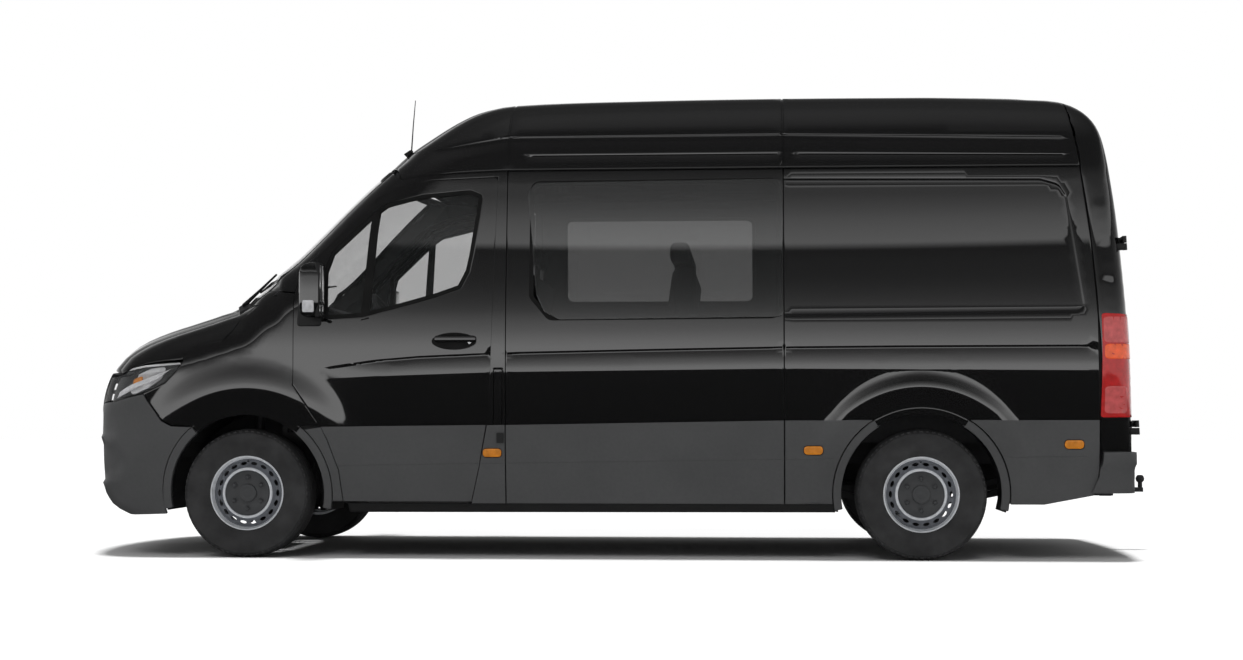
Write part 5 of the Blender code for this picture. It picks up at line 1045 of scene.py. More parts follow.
def tail_lamp(side, word):
    """Lens that wraps the corner: red, with two pale bands and an orange one."""
    ray = in_plan(TAIL_AXIS_X, 1)
    rear = hits(REARWARD, [(-0.866, 0.765), (-0.866, 1.312)])
    edge = hits(LEFTWARD, [(2.6005, 1.318), (2.5905, 0.764)])
    outline = [(a * -side, z) for a, z in in_turn(rear + edge, TAIL_AXIS_X, 1)]
    first, last = outline[0][0], outline[-1][0]
    panel("tail_lamp_lens_" + word, ray, rounded(outline, 0.012), "body", RED, 0.03, step=0.03, raised=0.004,
          rim=0.006, replaces=["tail_lamp_" + word])
    for i, (low, high, *shares, material) in enumerate(LAMP_BANDS):
        start, end = (last + (first - last) * share for share in shares)
        area = [(start, low), (end, low), (end, high), (start, high)]
        panel("tail_lamp_band_%s_%d" % (word, i), ray, rounded(area, 0.02), "body", material, 0.006,
              step=0.03, raised=0.0055, rim=0.002)


def rear_door(side, word):
    """Door's outer skin with its pressed fields, hinge straps, handle and high lamp."""
    ray, s = REARWARD, side
    body = "rear_door_" + word
    half = [(0.004, 0.640), (0.855, 0.640), (0.855, 1.355), (0.842, 1.876), (0.812, 2.136),
            (0.752, 2.277), (0.650, 2.356), (0.004, 2.356)]
    outline = [(s * y, z) for y, z in half]
    panel(body + "_skin", ray, rounded(outline, 0.012), body, PAINT, 0.03, (), 0.03, (),
          relief=lambda p: rear_relief(p, side), rim=0.003, replaces=[body])
    for i, z in enumerate((1.70, 0.71)):
        leaf = [(s * 0.735, z - 0.034), (s * 0.868, z - 0.034), (s * 0.868, z + 0.034),
                (s * 0.735, z + 0.024)]
        panel("hinge_strap_%s_%d" % (word, i), ray, rounded(leaf, 0.012), body, TRIM, 0.008, step=0.02,
              raised=0.006, rim=0.002)
    if side > 0:
        pull = rounded([(0.03, 1.08), (0.03, 1.20), (0.20, 1.20), (0.20, 1.08)], 0.03)
        panel("rear_handle", ray, pull, body, TRIM, 0.02, step=0.02, raised=0.012, rim=0.005)
    light = [(s * 0.30, 2.305), (s * 0.30, 2.335), (s * 0.44, 2.335), (s * 0.44, 2.305)]
    panel("high_lamp_" + word, ray, rounded(light, 0.01), body, RED, 0.02, step=0.03, raised=0.008,
          rim=0.003)


def rear_relief(points, side):
    """Fields pressed into a rear door, one for the window's place and one for the plate's."""
    plane = points[:, [1, 2]]
    upper = [(side * 0.11, 1.34), (side * 0.74, 1.34), (side * 0.70, 2.17), (side * 0.62, 2.24),
             (side * 0.11, 2.24)]
    lower = [(side * 0.11, 0.78), (side * 0.74, 0.78), (side * 0.74, 1.05), (side * 0.11, 1.05)]
    depth = np.zeros(len(points))
    for field in (upper, lower):
        reach = distance_to(plane, field) * np.where(within(plane, [field]), 1, -1)
        depth = depth - 0.007 * ease(reach / 0.02)
    return depth


def rear_bumper():
    """Bumper wrapped round both corners, with a step along its upper part."""
    ray = in_plan(TAIL_AXIS_X, 1)
    edge = in_turn(hits(LEFTWARD, [(2.5385, 0.36), (2.575, 0.45), (2.5895, 0.578)]), TAIL_AXIS_X, 1)
    outline = edge + [(-a, z) for a, z in reversed(edge)]
    panel("rear_bumper_skin", ray, outline, "body", PLASTIC, 0.05, (), 0.03,
          [[(-1.0 + i / 15, z) for i in range(31)] for z in (0.50, 0.515)], raised=0.018,
          relief=lambda p: 0.014 * ease((p[:, 2] - 0.49) / 0.025), rim=0.008,
          replaces=["rear_bumper"])


for side, word in ((-1, "left"), (1, "right")):
    tail_lamp(side, word)
    rear_door(side, word)
rear_bumper()


def lathe(profile, place, steps=96):
    """Surface turned from a closed profile of radii and heights, placed by a function."""
    verts, faces, count = [], [], len(profile)
    for i in range(steps):
        turn = 2 * pi * i / steps
        verts += [place(r * cos(turn), r * sin(turn), h) for r, h in profile]
    for i in range(steps):
        j = (i + 1) % steps
        for k in range(count):
            n = (k + 1) % count
            faces.append((i * count + k, i * count + n, j * count + n, j * count + k))
    return mesh_of(verts, faces)


def outward(mesh):
    """The same mesh, its points welded and its faces turned outward."""
    work = bmesh.new()
    work.from_mesh(mesh)
    bmesh.ops.remove_doubles(work, verts=work.verts, dist=0.00001)
    bmesh.ops.recalc_face_normals(work, faces=work.faces)
    work.to_mesh(mesh)
    work.free()
    return mesh


def joined(meshes):
    """One mesh of several."""
    work = bmesh.new()
    for mesh in meshes:
        work.from_mesh(mesh)
    result = bpy.data.meshes.new("joined")
    work.to_mesh(result)
    work.free()
    return result


def block(low, high, rim=0.003, segments=2, lean=None):
    """Block with rounded edges; the lean moves its top along."""
    verts = [(x, y, z) for x in (low[0], high[0]) for y in (low[1], high[1]) for z in (low[2], high[2])]
    if lean:
        verts = [(x + (lean if z == high[2] else 0), y, z) for x, y, z in verts]
    faces = [(0, 1, 3, 2), (4, 6, 7, 5), (0, 4, 5, 1), (2, 3, 7, 6), (0, 2, 6, 4), (1, 5, 7, 3)]
    return settled(mesh_of(verts, faces), ("BEVEL", {"width": rim, "segments": segments,
                                                     "limit_method": "ANGLE"}))


def tube(line, radius, steps=12):
    """Round bar along a line, with one radius or one for each point, its ends closed."""
    line = [Vector(p) for p in line]
    radii = radius if isinstance(radius, (list, tuple)) else [radius] * len(line)
    verts, faces = [], []
    side = None
    for i, (point, r) in enumerate(zip(line, radii)):
        ahead = (line[min(i + 1, len(line) - 1)] - line[max(i - 1, 0)]).normalized()
        if side is None:
            side = ahead.orthogonal().normalized()
        side = (side - ahead * side.dot(ahead)).normalized()
        across = ahead.cross(side)
        verts += [point + (side * cos(2 * pi * k / steps) + across * sin(2 * pi * k / steps)) * r
                  for k in range(steps)]
    for i in range(len(line) - 1):
        for k in range(steps):
            n = (k + 1) % steps
            faces.append((i * steps + k, i * steps + n, (i + 1) * steps + n, (i + 1) * steps + k))
    faces.append(tuple(reversed(range(steps))))
    faces.append(tuple(range(len(verts) - steps, len(verts))))
    return mesh_of(verts, faces)


def wheel_place(x, side):
    """Points of a wheel: two axes in its plane and the distance out of it."""
    return lambda a, b, out: (x + a, side * (WHEEL_Y + out), AXLE_Z + b)


# Profiles of the wheel as radius and distance out from its middle
TREAD = 0.351
TYRE = [(0.203, -0.094), (0.215, -0.102), (0.235, -0.107), (0.262, -0.1125), (0.285, -0.115),
        (0.31, -0.1165), (0.326, -0.1145), (0.336, -0.106), (0.3445, -0.094), (0.349, -0.080)]
GROOVES = (-0.046, -0.016, 0.016, 0.046)
RIM = [(0.190, -0.094), (0.2205, -0.094), (0.2205, -0.089), (0.206, -0.085), (0.196, -0.070),
       (0.189, -0.02), (0.189, 0.03), (0.196, 0.066), (0.204, 0.080), (0.206, 0.088), (0.2155, 0.0905),
       (0.2205, 0.0935), (0.2185, 0.0975), (0.2130, 0.0945), (0.2060, 0.0925), (0.2010, 0.0955),
       (0.1965, 0.0940), (0.1930, 0.0800), (0.1860, 0.0640), (0.1800, 0.0400), (0.1800, 0.0),
       (0.1830, -0.060)]
DISC = ((0.0, 0.052), (0.048, 0.052), (0.10, 0.060), (0.118, 0.070), (0.124, 0.080), (0.132, 0.082),
        (0.139, 0.078), (0.147, 0.066), (0.156, 0.058), (0.170, 0.056), (0.177, 0.060), (0.1815, 0.068))
CAP = [(0.0, 0.084), (0.020, 0.0845), (0.030, 0.0825), (0.040, 0.0855), (0.047, 0.084), (0.049, 0.072),
       (0.070, 0.070), (0.100, 0.0735), (0.114, 0.0790), (0.1190, 0.0800), (0.1215, 0.0770),
       (0.1200, 0.0700), (0.0, 0.060)]
DISC_RING = [(0.1225, 0.074), (0.1250, 0.0815), (0.1290, 0.0845), (0.1345, 0.0840), (0.1385, 0.0800),
             (0.1400, 0.073)]
NUB = [(0, 0.0745), (0, 0.0865), (0.006, 0.0865), (0.0085, 0.084), (0.0105, 0.078), (0.0135, 0.0765),
       (0.0140, 0.0700)]
DRUM = [(0.0, 0.04), (0.09, 0.04), (0.10, 0.0), (0.125, -0.006), (0.1465, -0.008), (0.1480, -0.016),
        (0.125, -0.022), (0.06, -0.024), (0.0, -0.024)]
CALIPER = ((0.126, -0.036), (0.171, -0.030), (0.171, 0.036), (0.126, 0.044))
NUB_RING, SLOTS_ROUND, LUGS_ROUND, LUG_RING = 0.085, 18, 64, 0.3378


def tyre_profile():
    """Tyre's section: side wall, tread with its grooves, side wall and bead."""
    line = list(TYRE)
    for groove in GROOVES:
        crown = TREAD - 0.0015 * (groove / 0.05) ** 2
        line += [(crown, groove - 0.0055), (crown - 0.007, groove - 0.004), (crown - 0.007, groove + 0.004),
                 (crown, groove + 0.0055)]
    line += [(r, -out) for r, out in reversed(TYRE)]
    line += [(0.200, 0.080), (0.200, -0.080)]
    return line


LUG_SIZE = (0.017, 0.038, 0.0145)
LUG_PLACES = ((-0.0905, 0.24), (0.0905, -0.24))


def ring_tree():
    """Node tree that sets equal blocks round a wheel, each tipped about its own tangent."""
    tree = bpy.data.node_groups.new("ring_of_blocks", "GeometryNodeTree")
    sockets = {}
    for label, kind in (("Count", "Int"), ("Radius", "Float"), ("Out", "Float"), ("Tip", "Float"),
                        ("Size", "Vector"), ("Centre", "Vector"), ("Material", "Material")):
        socket = tree.interface.new_socket(label, in_out="INPUT", socket_type="NodeSocket" + kind)
        sockets[label] = socket.identifier
    tree.interface.new_socket("Geometry", in_out="OUTPUT", socket_type="NodeSocketGeometry")
    given = tree.nodes.new("NodeGroupInput").outputs
    value = {label: Sum(given[label]) for label in sockets}
    turn = make(tree, "GeometryNodeInputIndex") * (2 * pi) / value["Count"]
    spot = make(tree, "CombineXYZ", X=turn.math("SINE") * value["Radius"], Y=value["Out"],
                Z=turn.math("COSINE") * value["Radius"])
    points = make(tree, "GeometryNodePoints", Count=value["Count"], Position=spot)
    block_mesh = make(tree, "GeometryNodeMeshCube", Size=value["Size"])
    ring = make(tree, "GeometryNodeInstanceOnPoints", Points=points, Instance=block_mesh,
                Rotation=make(tree, "CombineXYZ", X=value["Tip"], Y=turn))
    placed = make(tree, "GeometryNodeTransform", Geometry=ring, Translation=value["Centre"])
    plain = make(tree, "GeometryNodeRealizeInstances", Geometry=placed)
    coated = make(tree, "GeometryNodeSetMaterial", Geometry=plain, Material=value["Material"])
    tree.links.new(coated.socket, tree.nodes.new("NodeGroupOutput").inputs[0])
    return tree, sockets


RING = ring_tree()


def ring_of_blocks(**inputs):
    """Plain mesh of a ring of blocks, for the tree's named inputs."""
    tree, sockets = RING
    thing = bpy.data.objects.new("work", bpy.data.meshes.new("work"))
    bpy.context.scene.collection.objects.link(thing)
    nodes = thing.modifiers.new("ring", "NODES")
    nodes.node_group = tree
    for label, value in inputs.items():
        nodes[sockets[label]] = value
    bpy.context.view_layer.update()
    seen = thing.evaluated_get(bpy.context.evaluated_depsgraph_get())
    mesh = bpy.data.meshes.new_from_object(seen)
    thing.modifiers.remove(nodes)
    bpy.data.objects.remove(thing)
    return mesh


def tread_lugs(x, side):
    """Both rows of lugs on a tyre's shoulders."""
    return [ring_of_blocks(Count=LUGS_ROUND, Radius=LUG_RING, Out=out, Tip=tip, Size=LUG_SIZE,
                           Centre=(x, side * WHEEL_Y, AXLE_Z), Material=TYRE_RUBBER)
            for out, tip in LUG_PLACES]


def oval(middle, turn, long_half, short_half, steps=14):
    """Slot in the wheel's disc, long along the ring that it lies on."""
    return [(middle * cos(turn) + long_half * cos(t) * -sin(turn) + short_half * sin(t) * cos(turn),
             middle * sin(turn) + long_half * cos(t) * cos(turn) + short_half * sin(t) * sin(turn))
            for t in (2 * pi * k / steps for k in range(steps))]


def wheel(x, side, name):
    """Tyre with its lugs, rim, slotted disc with its ring, cap with nut covers, valve and drum."""
    body = "wheel_" + name
    place = wheel_place(x, side)
    tyre = outward(lathe(tyre_profile(), place, 128))
    finish("tyre_" + name + "_carcass", joined([tyre, *tread_lugs(x, side)]), body, TYRE_RUBBER,
           ["tyre_" + name], 30)
    finish("rim_" + name + "_barrel", outward(lathe(RIM, place, 128)), body, SILVER, ["rim_" + name],
           40)
    outline = arc((0, 0), 0.1815, 0, 360, 96)[:-1]
    holes = [oval(0.1625, 2 * pi * i / SLOTS_ROUND, 0.0185, 0.0085) for i in range(SLOTS_ROUND)]
    rings = [arc((0, 0), r, 0, 360, 72) for r, _ in DISC[2:-1]]
    spots, faces = fill(outline, holes, 0.011, rings)
    heights = np.interp(np.hypot(spots[:, 0], spots[:, 1]), *zip(*DISC))
    verts = [place(a, b, out) for (a, b), out in zip(spots, heights)]
    disc = mesh_of(verts, faces, [(0, side, 0)] * len(verts))
    disc = settled(disc, *sheet(0.006, 0.0012))
    finish("rim_" + name + "_disc", disc, body, DISC_GREY, (), 40)
    ring = outward(lathe(DISC_RING, place, 96))
    finish("rim_%s_ring" % name, ring, body, SILVER, (), 50)
    cap = outward(lathe(CAP, place, 72))
    nubs = []
    for i in range(6):
        turn = pi / 6 + i * pi / 3
        at = NUB_RING * cos(turn), NUB_RING * sin(turn)
        nubs.append(outward(lathe(NUB, lambda a, b, out, at=at: place(at[0] + a, at[1] + b, out), 12)))
    finish("cap_" + name, joined([cap, *nubs]), body, CAP_GREY, (), 35)
    valve = tube([place(0.0, 0.171, 0.058), place(0.0, 0.174, 0.085)], 0.0035, 8)
    finish("valve_" + name, outward(valve), body, SEAL)
    finish("drum_" + name, outward(lathe(DRUM, place, 64)), body, STEEL)


def caliper(side, word):
    """Brake caliper over the rear of a front disc, carried by the knuckle."""
    place = wheel_place(AXLE_X, side)
    turns = [radians(30 + 55 * i / 8) for i in range(9)]
    verts = [place(r * cos(turn), r * sin(turn), out) for turn in turns for r, out in CALIPER]
    faces = [(4 * i + k, 4 * i + (k + 1) % 4, 4 * i + 4 + (k + 1) % 4, 4 * i + 4 + k)
             for i in range(8) for k in range(4)]
    mesh = outward(mesh_of(verts, faces + [(3, 2, 1, 0), (32, 33, 34, 35)]))
    rounded_off = settled(mesh, ("BEVEL", {"width": 0.004, "segments": 2, "limit_method": "ANGLE"}))
    finish("caliper_" + word, rounded_off, "knuckle_" + word, STEEL)


for side, word in ((-1, "left"), (1, "right")):
    caliper(side, word)
for x, place_name in ((AXLE_X, "front"), (REAR_AXLE_X, "rear")):
    for side, word in ((-1, "left"), (1, "right")):
        wheel(x, side, place_name + "_" + word)


MIRROR_SECTIONS = ((-1.690, 0.72), (-1.682, 0.88), (-1.660, 0.97), (-1.625, 1.0), (-1.592, 0.985),
                   (-1.582, 0.955))
MIRROR_Y, MIRROR_Z, MIRROR_HALF_Y, MIRROR_HALF_Z = 1.100, 1.452, 0.070, 0.150
MIRROR_CORNER, MIRROR_STEPS = 0.42, 36


def mirror(side, word):
    """Housing, glass, indicator, arms and foot of a door mirror."""
    body, s, count = "cab_door_" + word, side, MIRROR_STEPS
    verts = []
    for x, share in MIRROR_SECTIONS:
        for k in range(count):
            cy, cz = cos(2 * pi * k / count), sin(2 * pi * k / count)
            verts.append((x, s * MIRROR_Y + MIRROR_HALF_Y * share * copysign(abs(cy) ** MIRROR_CORNER, cy),
                          MIRROR_Z + MIRROR_HALF_Z * share * copysign(abs(cz) ** MIRROR_CORNER, cz)))
    last = len(MIRROR_SECTIONS) - 1
    faces = [(i * count + k, i * count + (k + 1) % count, (i + 1) * count + (k + 1) % count,
              (i + 1) * count + k) for i in range(last) for k in range(count)]
    faces += [tuple(range(count)), tuple(range(last * count, (last + 1) * count))]
    shell = outward(mesh_of(verts, faces))
    finish("mirror_housing_" + word, shell, body, PAINT, ["mirror_" + word], 50)
    inner, outer = sorted((s * 1.036, s * 1.166))
    band = block((-1.600, inner, 1.300), (-1.574, outer, 1.600), 0.010, 3)
    finish("mirror_surround_" + word, band, body, TRIM)
    inner, outer = sorted((s * 1.045, s * 1.157))
    for name, low, high in (("mirror_glass_", 1.385, 1.585), ("blind_spot_glass_", 1.312, 1.372)):
        pane = block((-1.576, inner, low), (-1.5715, outer, high), 0.0018, 2)
        finish(name + word, pane, body, CHROME, (), 40)
    inner, outer = sorted((s * 1.120, s * 1.174))
    lamp = block((-1.668, inner, 1.330), (-1.604, outer, 1.395), 0.008, 3)
    finish("mirror_indicator_" + word, lamp, body, PALE_LENS)
    arm = [tube([(-1.63, s * 1.06, z), (-1.64, s * 1.00, z - 0.005), (-1.65, s * 0.955, z - 0.012)],
                [0.016, 0.018, 0.022], 14) for z in (1.335, 1.52)]
    finish("mirror_arms_" + word, outward(joined(arm)), body, TRIM)
    foot = rounded([(-1.735, 1.262), (-1.60, 1.262), (-1.60, 1.555), (-1.725, 1.465)], 0.02)
    panel("mirror_foot_" + word, sideways(side), foot, body, TRIM, 0.02, step=0.03, raised=0.006, rim=0.004)


HANDLE_X, HANDLE_Z, HANDLE_HALF = -0.868, 1.178, 0.105


def ellipse(x, z, half_x, half_z, steps):
    return [(x + half_x * cos(2 * pi * k / steps), z + half_z * sin(2 * pi * k / steps))
            for k in range(steps)]


def handle(side, word):
    """Pull over a dished recess, with its lock."""
    ray, body, x, z = sideways(side), "cab_door_" + word, HANDLE_X, HANDLE_Z
    dish = ellipse(x, z, 0.122, 0.046, 32)
    panel("handle_dish_" + word, ray, dish, body, SEAL, 0.004, step=0.02, raised=0.0022, rim=0.001)
    ring = ellipse(x, z, 0.124, 0.048, 40)
    panel("handle_rim_" + word, ray, ring, body, PAINT, 0.005, [dish], 0.02, raised=0.0030, rim=0.0015)
    pull = rounded([(x - HANDLE_HALF, z - 0.006), (x + HANDLE_HALF * 1.15, z - 0.006),
                    (x + HANDLE_HALF * 1.15, z + 0.030), (x - HANDLE_HALF, z + 0.030)], 0.016)
    panel("handle_pull_" + word, ray, pull, body, PAINT, 0.014, step=0.02, raised=0.024, rim=0.006)
    foot = throw(ray, [(x + 0.085, z - 0.006)])[0]

    def place(a, b, out):
        return foot[0] + a, foot[1] + side * out, foot[2] + b

    lock = outward(lathe([(0, 0.0), (0, 0.011), (0.006, 0.0115), (0.009, 0.009), (0.0095, 0.0)], place, 20))
    finish("lock_" + word, lock, body, BRIGHT)


def markers(side, word):
    """Amber side markers on their black bases."""
    ray = sideways(side)
    for i, (x, z) in enumerate(((-0.6595, 0.572), (1.074, 0.587), (2.454, 0.620))):
        area = rounded([(x - 0.051, z - 0.023), (x + 0.051, z - 0.023), (x + 0.051, z + 0.023),
                        (x - 0.051, z + 0.023)], 0.022)
        panel("marker_base_%s_%d" % (word, i), ray, grow(area, 0.004), "body", TRIM, 0.006, step=0.02,
              raised=0.0085, relief=brow_relief, rim=0.002)
        panel("marker_%s_%d" % (word, i), ray, area, "body", AMBER, 0.008, step=0.02, raised=0.0125,
              relief=brow_relief, rim=0.004)


def gutter(side, word):
    """Drip rail between the roof and the sides."""
    line = [(-1.187, 2.082), (-1.0, 2.100), (-0.80, 2.112), (SEAM_FRONT_X, 2.120), (0.9, 2.122),
            (2.50, 2.120)]
    line = divided(line, 0.08, False)
    spots = throw(sideways(side), line, 0.0005)
    finish("drip_rail_" + word, outward(tube(spots, 0.0035, 8)), "body", PAINT)


def flap():
    """Fuel flap, flush with the pillar's skin."""
    area = [(-0.6485, 0.722), (-0.6070, 0.722), (-0.6070, 1.026), (-0.6485, 1.026)]
    panel("fuel_flap_skin", sideways(-1), rounded(area, 0.006), "fuel_flap", PAINT, 0.004, step=0.02,
          raised=0.0015, relief=pillar_relief, rim=0.0015, replaces=["fuel_flap"])


def antenna():
    """Rod aerial on a small foot at the front of the roof."""
    base = throw(around(ROOF_AXIS_Z), [(-1.198, atan2(-0.5, 0.36))])[0]
    low = (-1.198, -0.5, float(base[2]) - 0.01)
    foot = outward(tube([(low[0] - 0.03, low[1], low[2]), (low[0], low[1], low[2] + 0.028),
                         (low[0] + 0.006, low[1], low[2] + 0.034)], [0.020, 0.013, 0.006], 16))
    finish("antenna_foot", foot, "body", TRIM)
    top = (-1.176, -0.5, 2.584)
    rod = outward(tube([(low[0], low[1], low[2] + 0.02), (low[0] + 0.010, low[1], low[2] + 0.18), top],
                       [0.0042, 0.0032, 0.0022], 8))
    finish("antenna_rod", rod, "body", TRIM)


# Each wiper's arm and blade from end to end, as y and z on the windscreen
WIPERS = {"left": (((-0.66, 1.398), (-0.30, 1.60)), ((-0.66, 1.47), (-0.02, 1.62))),
          "right": (((0.02, 1.436), (0.40, 1.60)), ((0.02, 1.50), (0.66, 1.60)))}


def with_middle(start, end):
    return [start, ((start[0] + end[0]) / 2, (start[1] + end[1]) / 2), end]


def wipers():
    """Wiper arms and blades, with the cowl that they stand in."""
    for name, (arm, blade) in WIPERS.items():
        rod = tube(throw(AHEAD, with_middle(*arm), 0.028), [0.013, 0.008, 0.006], 10)
        finish("wiper_arm_" + name, outward(rod), "body", TRIM)
        rod = tube(throw(AHEAD, with_middle(*blade), 0.012), [0.005, 0.009, 0.005], 8)
        finish("wiper_blade_" + name, outward(rod), "body", SEAL)
    cowl = [(-0.80, 1.352), (-0.40, 1.388), (0, 1.400), (0.40, 1.388), (0.80, 1.352), (0.80, 1.383),
            (0.40, 1.421), (0, 1.434), (-0.40, 1.421), (-0.80, 1.383)]
    panel("cowl", AHEAD, cowl, "body", TRIM, 0.02, step=0.04, raised=-0.004, rim=0.003)


def rear_hinges(side, word):
    """Knuckles of the rear doors on the body and on the doors, leaning with the rear end."""
    s = side
    for i, z in enumerate((0.71, 1.70)):
        x = 2.8045 - 0.05448 * (z - 0.64)
        for part, low, high, body in (("leaf", -0.038, -0.002, "body"),
                                      ("knuckle", 0.002, 0.038, "rear_door_" + word)):
            line = [(x - 0.0545 * low, s * 0.905, z + low), (x - 0.0545 * high, s * 0.905, z + high)]
            inner, outer = sorted((s * 0.893, s * 0.916))
            arm = block((x - 0.075 if part == "leaf" else x - 0.02, inner, z + low),
                        (x + 0.004, outer, z + high), 0.004)
            if part == "knuckle":
                inner, outer = sorted((s * 0.80, s * 0.905))
                arm = block((x - 0.010, inner, z + low), (x + 0.006, outer, z + high), 0.003)
            finish("hinge_%s_%s_%d" % (part, word, i), joined([outward(tube(line, 0.012, 18)), arm]),
                   body, TRIM)


PUFF, FRAMES, VOXEL = 0.022, 20, 0.006
SEAM_SHARES, SEAM_DEPTH, SEAM_HALF = (0.24, 0.76), 0.006, 0.007
BLOWN = {}


def blown(size, rim, lean):
    """Stuffed form of a block that stands at the origin: a shell blown up as cloth, then sewn."""
    mesh = block((0.0, 0.0, 0.0), size, rim, 4, lean)
    mesh = settled(mesh, ("REMESH", {"mode": "VOXEL", "voxel_size": VOXEL, "use_smooth_shade": True}))
    start = np.array([tuple(v.co) for v in mesh.vertices])
    thing = bpy.data.objects.new("work", mesh)
    bpy.context.scene.collection.objects.link(thing)
    cloth = thing.modifiers.new("cloth", "CLOTH")
    cloth.settings.use_pressure = True
    cloth.settings.uniform_pressure_force = 4.0
    cloth.settings.effector_weights.gravity = 0.0
    cloth.settings.quality = 4
    for i in range(1, FRAMES + 1):
        bpy.context.scene.frame_set(i)
    seen = thing.evaluated_get(bpy.context.evaluated_depsgraph_get())
    after = bpy.data.meshes.new_from_object(seen)
    shift = np.array([tuple(v.co) for v in after.vertices]) - start
    length = np.linalg.norm(shift, axis=1)[:, None]
    moved = start + shift * np.minimum(1.0, PUFF / np.maximum(length, 1e-9))
    bpy.context.scene.frame_set(1)
    thing.modifiers.clear()
    bpy.data.objects.remove(thing)
    mesh.vertices.foreach_set("co", moved.ravel())
    points = np.array([tuple(v.co) for v in mesh.vertices])
    normals = np.array([tuple(v.normal) for v in mesh.vertices])
    seams = [share * size[1] for share in SEAM_SHARES] if size[1] > 0.3 else []
    depth = sum((SEAM_DEPTH * np.exp(-((points[:, 1] - seam) / SEAM_HALF) ** 2) for seam in seams),
                np.zeros(len(points)))
    mesh.vertices.foreach_set("co", (points - normals * depth[:, None]).ravel())
    return mesh


def pad(name, low, high, lean=0.0, rim=0.03, replaces=()):
    """Stuffed pad between two corners; pads of one size share the work of the blowing up."""
    inset = 0.4 * PUFF
    size = tuple(round(b - a - 2 * inset, 4) for a, b in zip(low, high))
    if (size, rim, lean) not in BLOWN:
        BLOWN[size, rim, lean] = blown(size, rim, lean)
    mesh = BLOWN[size, rim, lean].copy()
    mesh.transform(Matrix.Translation([a + inset for a in low]))
    piece = finish(name, mesh, "body", CLOTH, replaces, 60)
    return piece


def seat(name, x, low_y, high_y, node, heads):
    """Cushion, back and head restraints on a box, with a shell behind the back."""
    places = np.linspace(low_y, high_y, len(heads) + 1)
    for i, (a, b) in enumerate(zip(places[:-1], places[1:])):
        tag = name + ("_%d" % i if len(heads) > 1 else "")
        first = i == 0
        pad(tag + "_cushion", (x + 0.015, a + 0.012, 0.93), (x + 0.44, b - 0.012, 1.050),
            rim=0.035, replaces=[node] if first else ())
        pad(tag + "_back", (x + 0.465, a + 0.012, 1.055), (x + 0.555, b - 0.012, 1.635),
            lean=0.080, rim=0.035)
        middle = heads[i]
        front, top = (0.560, 1.815) if x < SEAM_FRONT_X else (0.500, 1.755)
        pad(tag + "_head", (x + front, middle - 0.115, top - 0.135), (x + 0.625, middle + 0.115, top),
            rim=0.028)
        posts = [tube([(x + 0.585, middle + t, 1.60), (x + 0.592, middle + t, 1.70)], 0.006, 10)
                 for t in (-0.05, 0.05)]
        finish(tag + "_posts", outward(joined(posts)), "body", BRIGHT)
    base = block((x + 0.03, low_y + 0.03, 0.685), (x + 0.46, high_y - 0.03, 0.925), 0.02, 3, 0.02)
    finish(name + "_box", base, "body", CABIN)
    shell = block((x + 0.480, low_y + 0.02, 0.93), (x + 0.575, high_y - 0.02, 1.60), 0.03, 3, 0.078)
    finish(name + "_shell", shell, "body", CABIN)


for side, word in ((-1, "left"), (1, "right")):
    mirror(side, word)
    handle(side, word)
    markers(side, word)
    gutter(side, word)
    rear_hinges(side, word)
flap()
antenna()
wipers()
seat("driver_seat", -1.155, -0.70, -0.24, "driver_seat", [-0.47])
seat("passenger_bench", -1.155, -0.08, 0.84, "passenger_bench", [0.15, 0.62])
seat("crew_bench", -0.216, -0.78, 0.78, "crew_bench", [-0.52, 0.0, 0.52])


FAR_WINDOW = [(-0.436, 1.511), (0.759, 1.511), (0.759, 2.032), (-0.436, 2.032)]


def linings(side, word):
    """Inner sides of the doors and walls, with armrest, bin and window frame."""
    ray = sideways(side)
    door = "cab_door_" + word
    lights = rounded(DOOR_LIGHTS, 0.03)
    panel("door_lining_" + word, ray, grow(rounded(CAB_DOOR, 0.04), -0.028), door, CABIN, 0.006,
          [grow(lights, 0.012)], 0.06, raised=-0.046, rim=0.002)
    panel("door_frame_" + word, ray, grow(rounded(CAB_DOOR, 0.02), -0.006), door, PAINT, 0.008,
          [grow(rounded(CAB_DOOR, 0.04), -0.034)], 0.06, raised=-0.038, rim=0.002)
    rest = rounded([(-1.42, 1.10), (-0.90, 1.13), (-0.90, 1.19), (-1.42, 1.16)], 0.025)
    panel("armrest_" + word, ray, rest, door, CLOTH, 0.05, step=0.03, raised=-0.050, rim=0.010)
    bin_shape = rounded([(-1.42, 0.40), (-0.86, 0.40), (-0.80, 0.62), (-1.48, 0.62)], 0.05)
    panel("door_bin_" + word, ray, bin_shape, door, CABIN, 0.05, step=0.04, raised=-0.050, rim=0.010)
    window = rounded(WINDOW if side < 0 else FAR_WINDOW, 0.045)
    wall = [(SEAM_FRONT_X, 0.64), (SEAM_MIDDLE_X - 0.004, 0.64), (SEAM_MIDDLE_X - 0.004, 2.10),
            (SEAM_FRONT_X, 2.10)]
    panel("wall_lining_" + word, ray, grow(wall, -0.004), "body", CABIN, 0.005, [grow(window, 0.012)], 0.08,
          raised=-0.052)
    panel("window_frame_" + word, ray, grow(window, 0.020), "body", CABIN, 0.050,
          [grow(window, -0.004)], 0.05, raised=-0.010, rim=0.004)
    cross = at_height(0.47, 0.64)
    back = ([(SEAM_MIDDLE_X + 0.004, 2.10), (2.49, 2.10), (2.53, 1.70), (2.55, 0.64)]
            + arch(REAR_AXLE_X, 0.47, cross, 180 - cross, 20) + [(SEAM_MIDDLE_X + 0.004, 0.64)])
    panel("load_lining_" + word, ray, back, "body", CABIN, 0.005, (), 0.06, raised=-0.052,
          relief=ply_relief)
    housing(side, word)


